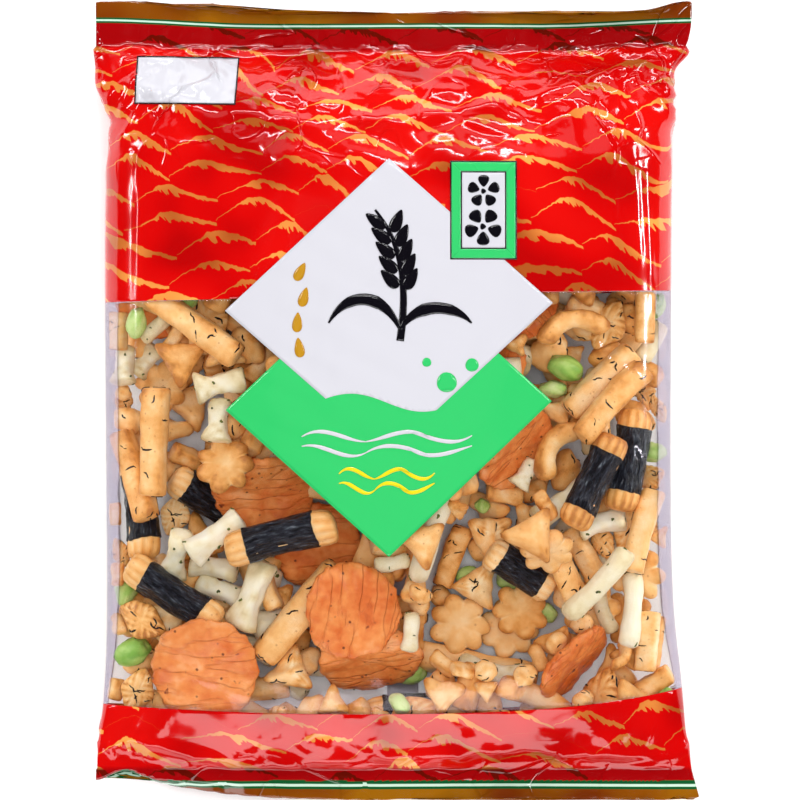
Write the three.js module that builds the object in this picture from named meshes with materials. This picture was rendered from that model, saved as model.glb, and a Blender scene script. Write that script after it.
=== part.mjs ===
// A sealed pillow bag of rice crackers, lying on its back with the printed front up.
// The bag is one closed solid: two sheets of film welded along a flat seal at the head and at the foot, and bulged
// by what is inside. Millimetres, +Z up, +Y towards the head seal, origin under the middle, on the surface it rests on.
import * as THREE from "three";

// Driving sizes.
const BAG_LENGTH = 305; // outer edge of the foot seal to outer edge of the head seal
const FLAT_WIDTH = 231; // the empty bag's width, kept where the film is welded flat
const FILLED_THICKNESS = 54; // resting face to the crown of the front
const SIDE_HEIGHT = 23; // height of the bag's side edge above the surface
const SEAL_HEIGHT = 17; // height of both seals above the surface
const HEAD_SEAL = 18; // length of the flat welded band at the head
const FOOT_SEAL = 12; // length of the flat welded band at the foot
const TURNED_STRIP = 6.7; // outer strip of the foot seal, which turns down behind the bag at one corner
const WELD_THICKNESS = 0.8; // two sheets of film, drawn thick enough to be a solid

// Worked out from them.
const HALF_LENGTH = BAG_LENGTH / 2;
const HALF_WIDTH = FLAT_WIDTH / 2;
const HEAD_WELD = HALF_LENGTH - HEAD_SEAL; // inner edge of the head seal
const FOOT_WELD = -HALF_LENGTH + FOOT_SEAL; // inner edge of the foot seal
const TURN_LINE = -HALF_LENGTH + TURNED_STRIP; // the line that the strip turns about
const FRONT_RISE = FILLED_THICKNESS - SIDE_HEIGHT; // side edge up to the crown
const BACK_DROP = 33; // side edge down to where the back would hang if no surface flattened it

// How round the bulge is across and along the bag: 2 is an ellipse, more is boxier.
const ROUND_ACROSS = 2.35;
const HEAD_SHOULDER = 46; // length over which the bulge rises from the head seal
const FOOT_SHOULDER = 84; // length over which it rises from the foot seal

// How far each side edge is drawn in from the flat width, in mm, from the foot (share 0) to the head (share 1).
const LEFT_DRAWN_IN = [
  [0, 0.2], [0.06, 1], [0.14, 3.7], [0.25, 4.8], [0.45, 4.4], [0.7, 4], [0.8, 4.9],
  [0.832, 6.5], [0.855, 8], [0.875, 3.8], [0.9, 0.4], [0.95, 0.2], [1, 0.2],
];
const RIGHT_DRAWN_IN = [
  [0, 0], [0.03, 2.8], [0.07, 5], [0.14, 6.9], [0.25, 10.4], [0.4, 11.4],
  [0.75, 11], [0.905, 10.9], [0.925, 8.4], [0.945, 4.6], [0.97, 3.4], [1, 3.4],
];

// Waves of the film.
const HEAD_SAG = 4.6; // how far the middle of the head seal is pulled in by the bulge
const HEAD_WAVE = { height: 0.7, length: 66 }; // the head seal's edge, in its own plane
const SEAL_WAVE = { height: 1.8, length: 118 }; // both seals, out of their plane
const HEAD_CREASE = { depth: 3.2, y: 101, width: 13, from: -86, to: 62, slope: 0.05 };

// The foot seal turns down behind the bag at its left corner, and pulls a notch into the edge there.
const CORNER_TURN = { from: -30, to: -118, degrees: 100 };
const CORNER_NOTCH = { rise: 4.4, x: -103.5, width: 7.5 };

// Facets.
const AROUND = 64; // an even number: half of them on the front
const ALONG = 60;

const SIDES = { left: stations(LEFT_DRAWN_IN), right: stations(RIGHT_DRAWN_IN) };

// A smooth curve through the [share of the length, mm drawn in] stations.
function stations(list) {
  return new THREE.SplineCurve(list.map(([share, drawnIn]) => new THREE.Vector2(share, drawnIn)));
}

function smooth(from, to, value) {
  return THREE.MathUtils.smoothstep((value - from) / (to - from), 0, 1);
}

// The spline's drawn-in distance at a share of the length: its own parameter runs unevenly, so it is searched for.
function drawnIn(curve, share) {
  let low = 0;
  let high = 1;
  for (let i = 0; i < 30; i++) {
    const middle = (low + high) / 2;
    if (curve.getPoint(middle).x < share) low = middle;
    else high = middle;
  }
  return curve.getPoint((low + high) / 2).y;
}

// 0 at the seals, 1 where the bag is full, with a rounded shoulder at each end.
function fullness(y) {
  const head = THREE.MathUtils.clamp((HEAD_WELD - y) / HEAD_SHOULDER, 0, 1);
  const foot = THREE.MathUtils.clamp((y - FOOT_WELD) / FOOT_SHOULDER, 0, 1);
  const headRise = Math.pow(Math.sin((head * Math.PI) / 2), 0.9);
  const footRise = Math.pow(Math.sin((foot * Math.PI) / 2), 0.85);
  return headRise * footRise;
}

// The bulge's height across the bag, as a share: 1 in the middle and 0 at the side edges.
function bulge(across) {
  return Math.pow(1 - Math.pow(Math.abs(across), ROUND_ACROSS), 1 / ROUND_ACROSS);
}

function wave({ height, length }, x, shift) {
  return height * Math.sin((2 * Math.PI * x) / length + shift);
}

// A shallow fold that runs across the front where the empty head of the bag meets the filled part.
function headCrease(x, y) {
  const middle = HEAD_CREASE.y + HEAD_CREASE.slope * x;
  const along = smooth(HEAD_CREASE.from - 22, HEAD_CREASE.from, x) * (1 - smooth(HEAD_CREASE.to, HEAD_CREASE.to + 40, x));
  return HEAD_CREASE.depth * along * Math.exp(-(((y - middle) / HEAD_CREASE.width) ** 2));
}

// Where a point of the film lies: across from -1 (left edge) to 1 (right edge), y along the flat bag, front or back.
function filmPoint(across, y, front) {
  const share = (y + HALF_LENGTH) / BAG_LENGTH;
  const left = -HALF_WIDTH + drawnIn(SIDES.left, share);
  const right = HALF_WIDTH - drawnIn(SIDES.right, share);
  const x = left + ((across + 1) / 2) * (right - left);
  const full = fullness(y);
  const inSeal = 1 - full;

  const edge = SEAL_HEIGHT + (SIDE_HEIGHT - SEAL_HEIGHT) * full + wave(SEAL_WAVE, x, y > 0 ? 0.6 : 2.4) * inSeal;
  const half = bulge(across);
  const skin = (WELD_THICKNESS / 2) * Math.min(1, half * 3);
  const z = front
    ? edge + skin + half * full * FRONT_RISE - headCrease(x, y) * half * full
    : Math.max(0, edge - skin - half * full * BACK_DROP);

  const point = new THREE.Vector3(x, y, z);
  pullHeadIn(point);
  turnCornerUnder(point);
  return point;
}

// The bulge takes up length, most in the middle, so the head seal's edge curves in and waves.
function pullHeadIn(point) {
  const near = smooth(HEAD_WELD - 60, HALF_LENGTH, point.y);
  const middle = 1 - smooth(0.45, 1, Math.abs(point.x) / HALF_WIDTH);
  point.y -= near * (HEAD_SAG * middle + wave(HEAD_WAVE, point.x, 0.9) * middle);
}

// Turns the foot seal's strip down, more and more towards the left corner, and lifts the notch there.
function turnCornerUnder(point) {
  const lift = CORNER_NOTCH.rise * Math.exp(-(((point.x - CORNER_NOTCH.x) / CORNER_NOTCH.width) ** 2));
  point.y += lift * (1 - smooth(TURN_LINE, TURN_LINE + 26, point.y));
  const beyond = TURN_LINE + lift - point.y;
  if (beyond <= 0) return;
  const corner = smooth(CORNER_TURN.from, CORNER_TURN.to, point.x);
  const angle = THREE.MathUtils.degToRad(CORNER_TURN.degrees) * corner;
  point.y += beyond * (1 - Math.cos(angle));
  point.z -= beyond * Math.sin(angle);
}

// Rings are close together at the seals and shoulders, where the shape changes most.
function ringPlace(share) {
  const eased = share - 0.055 * Math.sin(4 * Math.PI * share) - 0.012 * Math.sin(2 * Math.PI * share);
  return -HALF_LENGTH + BAG_LENGTH * THREE.MathUtils.clamp(eased, 0, 1);
}

// A closed tube with a cap at each end, whose every vertex is moved to its place on the film.
function bagGeometry() {
  const geometry = new THREE.CylinderGeometry(1, 1, 1, AROUND, ALONG);
  const places = geometry.getAttribute("position");
  const vertex = new THREE.Vector3();
  for (let i = 0; i < places.count; i++) {
    vertex.fromBufferAttribute(places, i);
    const radius = Math.hypot(vertex.x, vertex.z);
    const across = radius < 1e-6 ? 0 : THREE.MathUtils.clamp(vertex.x, -1, 1);
    const y = ringPlace(vertex.y + 0.5);
    const moved = filmPoint(across, y, vertex.z >= 0);
    if (radius < 1e-6) moved.lerp(filmPoint(across, y, false), 0.5);
    places.setXYZ(i, moved.x, moved.y, moved.z);
  }
  geometry.computeVertexNormals();
  return geometry;
}

const film = new THREE.MeshStandardMaterial({ color: 0xe2231f, roughness: 0.22, metalness: 0 });
const bag = new THREE.Mesh(bagGeometry(), film);
bag.name = "bag";

const part = new THREE.Group();
part.add(bag);

export default part;
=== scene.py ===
# A sealed pillow bag of mixed rice crackers, lying on its back: clear film printed at head and foot, and what it holds.
# Metres outside, millimetres while a cracker is modelled or packed; +Y is towards the head seal, +Z out of the front.
import math

import bpy
import numpy as np
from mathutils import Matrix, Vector
from mathutils.bvhtree import BVHTree


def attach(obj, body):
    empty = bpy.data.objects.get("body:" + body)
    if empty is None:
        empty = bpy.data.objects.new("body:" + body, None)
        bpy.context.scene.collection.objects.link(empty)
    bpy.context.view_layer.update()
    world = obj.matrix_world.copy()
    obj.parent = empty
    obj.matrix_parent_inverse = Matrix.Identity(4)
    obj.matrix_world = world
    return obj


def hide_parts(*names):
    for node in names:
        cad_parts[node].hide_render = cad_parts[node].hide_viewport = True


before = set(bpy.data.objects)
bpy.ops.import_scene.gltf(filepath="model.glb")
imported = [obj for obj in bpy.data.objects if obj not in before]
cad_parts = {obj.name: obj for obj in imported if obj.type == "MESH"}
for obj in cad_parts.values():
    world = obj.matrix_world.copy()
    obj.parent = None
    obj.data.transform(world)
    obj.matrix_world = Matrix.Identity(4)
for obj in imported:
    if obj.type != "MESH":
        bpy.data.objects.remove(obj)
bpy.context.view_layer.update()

MM = 0.001
UP = Vector((0, 0, 1))


# ---------------------------------------------------------------- meshes, as arrays in millimetres


class Form:
    """One cracker's mesh: points, normals, ridge (how far a point stands proud), and faces for each finish."""

    def __init__(self, points, normals, ridge, faces):
        self.points = points
        self.normals = normals
        self.ridge = ridge
        self.faces = faces  # finish -> list of corner lists


def rod(profile, sides, along_x=True):
    """A closed rod, extruded and resized from station to station of profile: (place on its axis, radius), mm."""
    axis = Vector((1, 0, 0)) if along_x else UP
    place, radius = profile[0]
    bpy.ops.object.select_all(action="DESELECT")
    bpy.ops.mesh.primitive_circle_add(
        vertices=sides, radius=radius * MM, fill_type="TRIFAN", location=axis * place * MM,
        rotation=(0, math.pi / 2, 0) if along_x else (0, 0, 0),
    )
    made = bpy.context.object
    bpy.ops.object.transform_apply(location=True, rotation=True, scale=True)
    bpy.ops.object.mode_set(mode="EDIT")
    bpy.ops.mesh.select_all(action="SELECT")
    for (start, before), (end, after) in zip(profile, profile[1:]):
        share = after / before
        bpy.ops.mesh.extrude_region_move(TRANSFORM_OT_translate={"value": axis * (end - start) * MM})
        bpy.ops.transform.resize(
            value=(1, share, share) if along_x else (share, share, 1), center_override=axis * end * MM
        )
    bpy.ops.mesh.select_all(action="SELECT")
    bpy.ops.mesh.normals_make_consistent(inside=False)
    bpy.ops.object.mode_set(mode="OBJECT")
    return made


def points_of(piece):
    flat = np.zeros(len(piece.data.vertices) * 3)
    piece.data.vertices.foreach_get("co", flat)
    return flat.reshape(-1, 3) / MM


def move_points(piece, points):
    piece.data.vertices.foreach_set("co", (points * MM).ravel())
    piece.data.update()


def smooth_step(value, start, end):
    share = np.clip((value - start) / (end - start), 0, 1)
    return share * share * (3 - 2 * share)


def lumps(points, size, seed, waves=8):
    """Smooth uneven bumps about size mm across, mostly from -1 to 1: plane waves in random directions."""
    rng = np.random.default_rng(seed)
    total = np.zeros(len(points))
    for _ in range(waves):
        direction = rng.normal(size=3)
        direction *= rng.uniform(0.6, 1.5) * 2 * math.pi / size / np.linalg.norm(direction)
        total += np.sin(points @ direction + rng.uniform(0, 2 * math.pi))
    return total / math.sqrt(waves)


def taken(piece, finish):
    """Takes a modelled piece off the scene as a Form."""
    mesh = piece.data
    points = points_of(piece)
    normals = np.zeros(len(mesh.vertices) * 3)
    mesh.vertices.foreach_get("normal", normals)
    normals = normals.reshape(-1, 3)
    ends = np.array([edge.vertices[:] for edge in mesh.edges])
    beside = np.zeros_like(points)
    count = np.zeros(len(points))
    for a, b in (ends.T, ends.T[::-1]):
        np.add.at(beside, a, points[b])
        np.add.at(count, a, 1)
    ridge = np.einsum("ij,ij->i", normals, points - beside / count[:, None])
    faces = {finish: [list(face.vertices) for face in mesh.polygons]}
    bpy.data.objects.remove(piece)
    return Form(points, normals, ridge, faces)


def joined(first, second):
    """Two Forms as one, each face keeping its finish."""
    shift = len(first.points)
    faces = {finish: list(found) for finish, found in first.faces.items()}
    for finish, found in second.faces.items():
        faces.setdefault(finish, []).extend([[corner + shift for corner in face] for face in found])
    return Form(
        np.vstack([first.points, second.points]), np.vstack([first.normals, second.normals]),
        np.concatenate([first.ridge, second.ridge]), faces,
    )


# ---------------------------------------------------------------- crackers, long side on X, flat side down


def polar(points):
    return np.hypot(points[:, 0], points[:, 1]), np.arctan2(points[:, 1], points[:, 0])


def rounded_corners(points, power, corners, first):
    """How far out a polygon with rounded corners reaches in each point's direction, as a share of its inner radius."""
    angle = polar(points)[1]
    sides = first + np.arange(corners) * 2 * math.pi / corners
    reach = np.clip(np.cos(angle[:, None] - sides), 0, None) ** power
    return reach.sum(1) ** (-1 / power)


def squared(points, power=4):
    """Turns a rod's round section into a square one with rounded corners."""
    angle = np.arctan2(points[:, 2], points[:, 1])
    reach = (np.abs(np.cos(angle)) ** power + np.abs(np.sin(angle)) ** power) ** (-1 / power)
    points[:, 1:] *= reach[:, None]
    return points


def outward(points):
    """The direction straight away from a rod's axis."""
    reach = np.maximum(np.hypot(points[:, 1], points[:, 2]), 0.1)
    return np.column_stack([np.zeros(len(points)), points[:, 1] / reach, points[:, 2] / reach])


def bent(points, degrees, length):
    """Bends a rod sideways into an arc of that many degrees over its length."""
    radius = length / math.radians(degrees)
    angle = points[:, 0] / radius
    turned = points.copy()
    turned[:, 0] = (radius - points[:, 1]) * np.sin(angle)
    turned[:, 1] = radius - (radius - points[:, 1]) * np.cos(angle) - radius * (1 - math.cos(math.radians(degrees) / 4))
    return turned


def disc_cracker():
    """A thin round cracker with a ragged rim and a slightly dished, uneven face."""
    radius = 20.5
    profile = [
        (-1.7, 3), (-1.9, 8), (-2.0, 13), (-2.0, 17), (-1.7, 19.4), (-0.7, 20.4),
        (0.6, 20.4), (1.6, 19.4), (2.1, 17), (2.2, 13), (2.1, 8), (2.0, 3),
    ]
    piece = rod(profile, sides=90, along_x=False)
    points = points_of(piece)
    out, angle = polar(points)
    round_points = np.column_stack([np.cos(angle), np.sin(angle), np.zeros(len(points))]) * radius
    rim = (out / radius) ** 6
    ragged = 0.35 * lumps(round_points, 3.2, seed=2) + 0.6 * lumps(round_points, 12, seed=4)
    points[:, :2] *= (1 + rim * ragged / radius)[:, None]
    points[:, 2] += 0.5 * lumps(points * (1, 1, 0), 15, seed=3) + 0.22 * lumps(points * (1, 1, 0), 5, seed=6)
    points[:, 2] += 0.35 * rim * lumps(round_points, 4, seed=5)
    move_points(piece, points)
    return taken(piece, "chilli_glaze")


def stick_cracker():
    """A plain stick with a rounded square section, and strands of seaweed on it."""
    profile = [
        (-22.5, 3.2), (-22.3, 4.6), (-21.6, 5.3), (-19.5, 5.5), (-15, 5.4), (-9, 5.3), (-3, 5.2),
        (3, 5.2), (9, 5.3), (15, 5.4), (19.5, 5.5), (21.6, 5.3), (22.3, 4.6), (22.5, 3.2),
    ]
    piece = rod(profile, sides=24)
    points = squared(points_of(piece))
    points[:, 2] *= 0.9
    points[:, 1:] *= (1 + 0.05 * np.sin(points[:, 0] / 9 + 0.6))[:, None]
    points += 0.12 * outward(points) * lumps(points, 11, seed=52)[:, None]
    move_points(piece, points)
    return taken(piece, "baked_rice")


def stub_cracker():
    """A short log, cut square at its ends."""
    profile = [
        (-9.5, 2.9), (-9.3, 4.1), (-8.6, 4.7), (-6.5, 4.9), (-2, 4.8),
        (2, 4.8), (6.5, 4.9), (8.6, 4.7), (9.3, 4.1), (9.5, 2.9),
    ]
    piece = rod(profile, sides=20)
    points = squared(points_of(piece))
    points[:, 2] *= 0.9
    points += 0.3 * outward(points) * lumps(points, 9, seed=53)[:, None]
    move_points(piece, points)
    return taken(piece, "baked_rice")


def wrapped_cracker():
    """A short ribbed log with a sheet of seaweed wrapped round its middle."""
    profile = [
        (-20, 2.4), (-19.6, 4.4), (-18.4, 5.7), (-16, 6.3), (-13, 6.3), (-11, 5.9), (-4, 5.5),
        (4, 5.5), (11, 5.9), (13, 6.3), (16, 6.3), (18.4, 5.7), (19.6, 4.4), (20, 2.4),
    ]
    piece = rod(profile, sides=44)
    points = points_of(piece)
    around = np.arctan2(points[:, 2], points[:, 1])
    points[:, 1:] *= (1 + 0.055 * np.cos(11 * around))[:, None]
    points[:, 1:] *= (1 + 0.09 * np.sin(2 * around + 0.5))[:, None]
    move_points(piece, points)
    log = taken(piece, "baked_rice")

    wrap = rod([(-12.6, 6.3), (-12.2, 6.62), (-9, 6.4), (-5.5, 6.25), (-2, 6.2), (2, 6.2), (5.5, 6.25), (9, 6.4),
                (12.2, 6.62), (12.6, 6.3)], sides=40)
    points = points_of(wrap)
    around = np.arctan2(points[:, 2], points[:, 1])
    crinkle = 0.34 * lumps(points * (0.6, 1, 1), 4.2, seed=8)
    lap = 0.45 * smooth_step(around, 0.4, 0.5) * (1 - smooth_step(around, 1.5, 2.2))
    rest = np.maximum(np.hypot(points[:, 1], points[:, 2]), 0.1)
    points[:, 1:] *= ((1 + 0.09 * np.sin(2 * around + 0.5)) * (rest + crinkle + lap) / rest)[:, None]
    points[:, 0] += 0.3 * np.sin(2 * around + 2) * np.sign(points[:, 0]) * (np.abs(points[:, 0]) > 12)
    move_points(wrap, points)
    return joined(log, taken(wrap, "nori"))


def flower_cracker():
    """A flat puffed flower with seven round petals."""
    profile = [
        (-2.7, 2.4), (-2.8, 5), (-2.6, 7.8), (-1.9, 9.5), (-0.6, 10.2),
        (0.8, 10.2), (2.0, 9.5), (2.7, 7.8), (3.0, 5), (3.0, 2.4),
    ]
    piece = rod(profile, sides=63, along_x=False)
    points = points_of(piece)
    out, angle = polar(points)
    uneven = angle + 0.09 * np.sin(2 * angle + 1)
    petal = np.abs(np.cos(3.5 * uneven)) ** 0.7
    points[:, :2] *= (1 + 0.3 * (petal - 0.75) * np.clip(out / 10, 0, 1) ** 1.5)[:, None]
    points[:, 2] *= 1 + 0.3 * (petal - 0.8) * (out / 10) ** 2
    points[:, 2] += 0.4 * lumps(points, 9, seed=5)
    move_points(piece, points)
    return taken(piece, "baked_rice")


def puffed_outline(reach, height, sides=48):
    """A pillow-like round, for outlines that a formula then shapes."""
    steps = [(-1, 0.25), (-0.96, 0.5), (-0.78, 0.76), (-0.4, 0.95), (0, 1),
             (0.42, 0.95), (0.8, 0.76), (1, 0.5), (1.04, 0.25)]
    return rod([(height * z, reach * r) for z, r in steps], sides=sides, along_x=False)


def triangle_cracker():
    """A puffed triangle with blunt corners and hollow sides."""
    piece = puffed_outline(6.6, 3.7, sides=54)
    points = points_of(piece)
    share = polar(points)[0] / 6.6
    reach = rounded_corners(points, 5, 3, math.pi / 3)
    points[:, :2] *= (reach ** 1.05 * (1 - 0.07 * (1.9 - reach) * share))[:, None]
    points[:, 2] *= 1 - 0.15 * smooth_step(polar(points)[0], 6, 12) * share
    points[:, 2] += 0.45 * lumps(points, 9, seed=11) - 0.5 * (1 - share) * np.sign(points[:, 2])
    move_points(piece, points)
    return taken(piece, "baked_rice")


def shell_cracker():
    """A puffed triangle with ridges that fan out from one corner, and seaweed strands."""
    piece = puffed_outline(6.6, 3.6, sides=72)
    points = points_of(piece)
    points[:, :2] *= rounded_corners(points, 6, 3, math.pi / 3)[:, None]
    fan = np.arctan2(points[:, 1], points[:, 0] + 15)
    out = smooth_step(points[:, 0], -9, -2)
    points[:, 2] += 0.55 * np.cos(17 * fan) * out * np.sign(points[:, 2])
    points[:, 0] += 0.7 * np.cos(17 * fan) * smooth_step(points[:, 0], 2, 6)
    move_points(piece, points)
    return taken(piece, "baked_rice")


def bone_cracker():
    """A stout white puff, wider and cut square at its ends, with flecks of green seaweed."""
    profile = [
        (-13, 2.2), (-12.8, 4.0), (-12, 4.9), (-10, 5.0), (-7, 4.6), (-3.5, 4.2), (0, 4.1),
        (3.5, 4.2), (7, 4.5), (10, 4.7), (12, 4.5), (12.8, 3.7), (13, 2.0),
    ]
    piece = rod(profile, sides=26)
    points = squared(points_of(piece), power=3)
    far = (np.abs(points[:, 0]) / 13) ** 2
    points[:, 1] *= 1 + (0.3 - 0.01 * points[:, 0]) * far
    points[:, 2] *= 0.95 - 0.06 * far
    points += 0.35 * outward(points) * lumps(points, 7, seed=51)[:, None]
    move_points(piece, points)
    return taken(piece, "white_rice")


def white_cracker():
    """A white stick, a little thicker at its ends."""
    profile = [
        (-16.5, 1.4), (-16.2, 2.8), (-15, 3.9), (-12.5, 4.3), (-8, 4.1), (-3, 3.9),
        (3, 3.9), (8, 4.1), (12.5, 4.3), (15, 3.9), (16.2, 2.8), (16.5, 1.4),
    ]
    piece = rod(profile, sides=22)
    points = squared(points_of(piece), power=2.4)
    move_points(piece, bent(points, 16, 33))
    return taken(piece, "white_rice")


def coated_pea():
    """A green pea in a lumpy coat."""
    turns = np.linspace(-80, 80, 11)
    profile = [(6.5 * math.sin(math.radians(t)), 4.3 * math.cos(math.radians(t)) ** 0.8) for t in turns]
    piece = rod(profile, sides=22)
    points = points_of(piece)
    points *= (1 + 0.08 * lumps(points, 6, seed=21))[:, None]
    move_points(piece, points)
    return taken(piece, "pea_coat")


def arch_cracker():
    """A short puffed rod bent into an arch."""
    profile = [
        (-17, 1.5), (-16.6, 2.9), (-15.2, 4.1), (-12.5, 4.5), (-8, 4.4), (-4, 4.3), (0, 4.3),
        (4, 4.3), (8, 4.4), (12.5, 4.5), (15.2, 4.1), (16.6, 2.9), (17, 1.5),
    ]
    piece = rod(profile, sides=22)
    points = squared(points_of(piece), power=2.6)
    points[:, 1:] *= (1 + 0.07 * lumps(points, 11, seed=31))[:, None]
    move_points(piece, bent(points, 130, 34))
    return taken(piece, "baked_rice")


def pebble_cracker():
    """A small puffed nugget."""
    turns = np.linspace(-78, 78, 11)
    profile = [(6.8 * math.sin(math.radians(t)), 4.9 * math.cos(math.radians(t)) ** 0.8) for t in turns]
    piece = rod(profile, sides=26)
    points = squared(points_of(piece), power=2.5)
    points *= (1 + 0.07 * lumps(points, 8, seed=41))[:, None]
    move_points(piece, points)
    return taken(piece, "baked_rice")


def leaf_cracker():
    """A flat lozenge with flutes across it, and seaweed strands baked in."""
    piece = puffed_outline(7.4, 2.5, sides=60)
    points = points_of(piece)
    points[:, :2] *= rounded_corners(points, 4.5, 4, math.pi / 4)[:, None]
    points[:, 0] *= 1.45
    edge = polar(points)[0] / 10
    points[:, 2] += 0.5 * np.cos(points[:, 0] * 1.9 + points[:, 1] * 0.5) * np.sign(points[:, 2]) * np.clip(edge, 0, 1)
    points[:, 2] += 0.9 * np.sin(points[:, 0] / 7)
    move_points(piece, points)
    return taken(piece, "baked_rice")


def strands(form, finish, count, length, width, seed):
    """Thin slivers that lie on a Form: each runs over the surface in short steps, as a flat closed strip."""
    rng = np.random.default_rng(seed)
    triangles = [face[:3] for faces in form.faces.values() for face in faces]
    surface = BVHTree.FromPolygons([Vector(p) for p in form.points], triangles)
    points, faces, normals = [], [], []
    for _ in range(count):
        start = rng.integers(len(form.points))
        place = Vector(form.points[start])
        normal = Vector(form.normals[start])
        heading = Vector(rng.normal(size=3)).cross(normal).normalized()
        steps = 4
        reach = length * rng.uniform(0.45, 1.2) / steps
        first = len(points)
        for step in range(steps + 1):
            found, normal, _, _ = surface.find_nearest(place)
            side = heading.cross(normal).normalized()
            half = width / 2 * rng.uniform(0.7, 1.2) * (0.45 if step in (0, steps) else 1)
            for across, lift in ((-half, 0.05), (0, 0.32), (half, 0.05), (0, -0.3)):
                points.append(found + side * across + normal * lift)
                normals.append(normal)
            heading = (heading - normal * heading.dot(normal) + side * rng.normal(0, 0.42)).normalized()
            place = found + heading * reach
        for step in range(steps):
            for corner in range(4):
                a = first + step * 4 + corner
                b = first + step * 4 + (corner + 1) % 4
                faces.append([a, b, b + 4, a + 4])
        last = first + steps * 4
        faces.append([first + 3, first + 2, first + 1, first])
        faces.append([last, last + 1, last + 2, last + 3])
    added = Form(np.array(points), np.array(normals), np.zeros(len(points)), {finish: faces})
    return joined(form, added)


# Each kind's maker, its share of a random filling, its long side in mm, and its seaweed: finish, count, length, width.
KINDS = {
    "disc": (disc_cracker, 4, 41, None),
    "stick": (stick_cracker, 17, 45, ("nori", 11, 5.2, 0.8)),
    "wrapped": (wrapped_cracker, 8, 40, None),
    "flower": (flower_cracker, 10, 20.4, None),
    "triangle": (triangle_cracker, 14, 20, None),
    "shell": (shell_cracker, 6, 20, ("nori", 5, 4.6, 0.8)),
    "bone": (bone_cracker, 10, 26, ("green_fleck", 10, 2.0, 1.2)),
    "white": (white_cracker, 6, 33, ("green_fleck", 4, 2, 1.1)),
    "stub": (stub_cracker, 10, 19, None),
    "pea": (coated_pea, 3, 13, None),
    "arch": (arch_cracker, 6, 27, None),
    "pebble": (pebble_cracker, 7, 13.6, ("nori", 2, 3.8, 0.7)),
    "leaf": (leaf_cracker, 7, 26, ("nori", 9, 5, 0.85)),
}
VARIANTS = 3


def model_kinds():
    """Every kind once, and for those with seaweed a few variants of how it lies."""
    forms = {}
    for name, (maker, _, _, seaweed) in KINDS.items():
        plain = maker()
        if seaweed is None:
            forms[name] = [plain]
            continue
        finish, count, length, width = seaweed
        forms[name] = [strands(plain, finish, count + 2 * v, length, width, seed=100 + v) for v in range(VARIANTS)]
    return forms


# ---------------------------------------------------------------- packing: crackers rise under the film, or rest on it

CELL = 1.0  # mm, the packing grid
REACH = np.array([120, 158])  # half the grid, cells
WALL = 0.6  # mm kept free between film and crackers
DEEPEST_TILT = math.radians(32)
DEEPEST_CUT = 1.5  # mm


def nearest_of(grid, pick):
    """Each cell takes the tightest value of the four cells beside it, so that a slope stays clear too."""
    tight = grid.copy()
    for axis in (0, 1):
        for step in (-1, 1):
            tight = pick(tight, np.roll(grid, step, axis))
    return tight


class Bag:
    """The space left in the bag: over each cell of the grid, the lowest ceiling and the highest floor so far."""

    def __init__(self, film):
        bpy.context.view_layer.update()
        tree = BVHTree.FromObject(film, bpy.context.evaluated_depsgraph_get())
        shape = tuple(2 * REACH)
        self.ceiling = np.full(shape, -1.0)
        self.floor = np.full(shape, 1.0)
        for i in range(shape[0]):
            for j in range(shape[1]):
                x, y = (np.array([i, j]) - REACH + 0.5) * CELL * MM
                front = tree.ray_cast(Vector((x, y, 1)), -UP)[0]
                back = tree.ray_cast(Vector((x, y, -1)), UP)[0]
                if front is not None and back is not None:
                    self.ceiling[i, j] = front.z / MM - WALL
                    self.floor[i, j] = back.z / MM + WALL
        self.ceiling = self.front = nearest_of(self.ceiling, np.minimum)
        self.floor = self.back = nearest_of(self.floor, np.maximum)
        self.ceiling, self.floor = self.ceiling.copy(), self.floor.copy()

    def room(self):
        return self.ceiling - self.floor


def cells_of(points):
    cells = np.floor(points[:, :2] / CELL).astype(int) + REACH
    return tuple(np.clip(cells, 0, 2 * REACH - 1).T)


def height_to_touch(bag, points, rising, ease):
    """How far a cracker rises to the ceiling, or sinks to the floor; None where it doesn't fit inside the film.
    ease is the share of its points that may cut a little, up to DEEPEST_CUT, into the crackers it comes to touch,
    as puffed pieces nest into each other; on its far side the same share may."""
    at = cells_of(points)
    spare = int(ease * len(points))
    highest = (bag.front[at] - points[:, 2]).min()
    lowest = (bag.back[at] - points[:, 2]).max()
    if rising:
        room = bag.ceiling[at] - points[:, 2]
        lift = min(np.partition(room, spare)[spare], room.min() + DEEPEST_CUT, highest)
        short = lift + points[:, 2] < bag.floor[at]
    else:
        room = points[:, 2] - bag.floor[at]
        lift = max(-np.partition(room, spare)[spare], -room.min() - DEEPEST_CUT, lowest)
        short = lift + points[:, 2] > bag.ceiling[at]
    return lift if lowest <= lift <= highest and short.mean() <= ease else None


def slope_over(bag, points, rising):
    """The mean slope of the ceiling or floor over a cracker's outline, as a tilted up direction."""
    heights = (bag.ceiling if rising else bag.floor)[cells_of(points)]
    known = np.abs(heights - np.median(heights)) < 14
    table = np.column_stack([points[known, :2], np.ones(known.sum())])
    across, along, _ = np.linalg.lstsq(table, heights[known], rcond=None)[0]
    up = Vector((-across, -along, 1)).normalized()
    tilt = UP.angle(up)
    return UP.slerp(up, min(1, DEEPEST_TILT / tilt)) if tilt > 1e-3 else UP


def take_place(bag, points, rising):
    """The cracker takes its room from the bag: its outline on the grid, and every cell beside a point of it."""
    at = np.array(cells_of(points))
    for di in (-1, 0, 1):
        for dj in (-1, 0, 1):
            beside = tuple(np.clip(at + [[di], [dj]], 0, (2 * REACH - 1)[:, None]))
            if rising:
                np.minimum.at(bag.ceiling, beside, points[:, 2])
            else:
                np.maximum.at(bag.floor, beside, points[:, 2])


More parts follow.
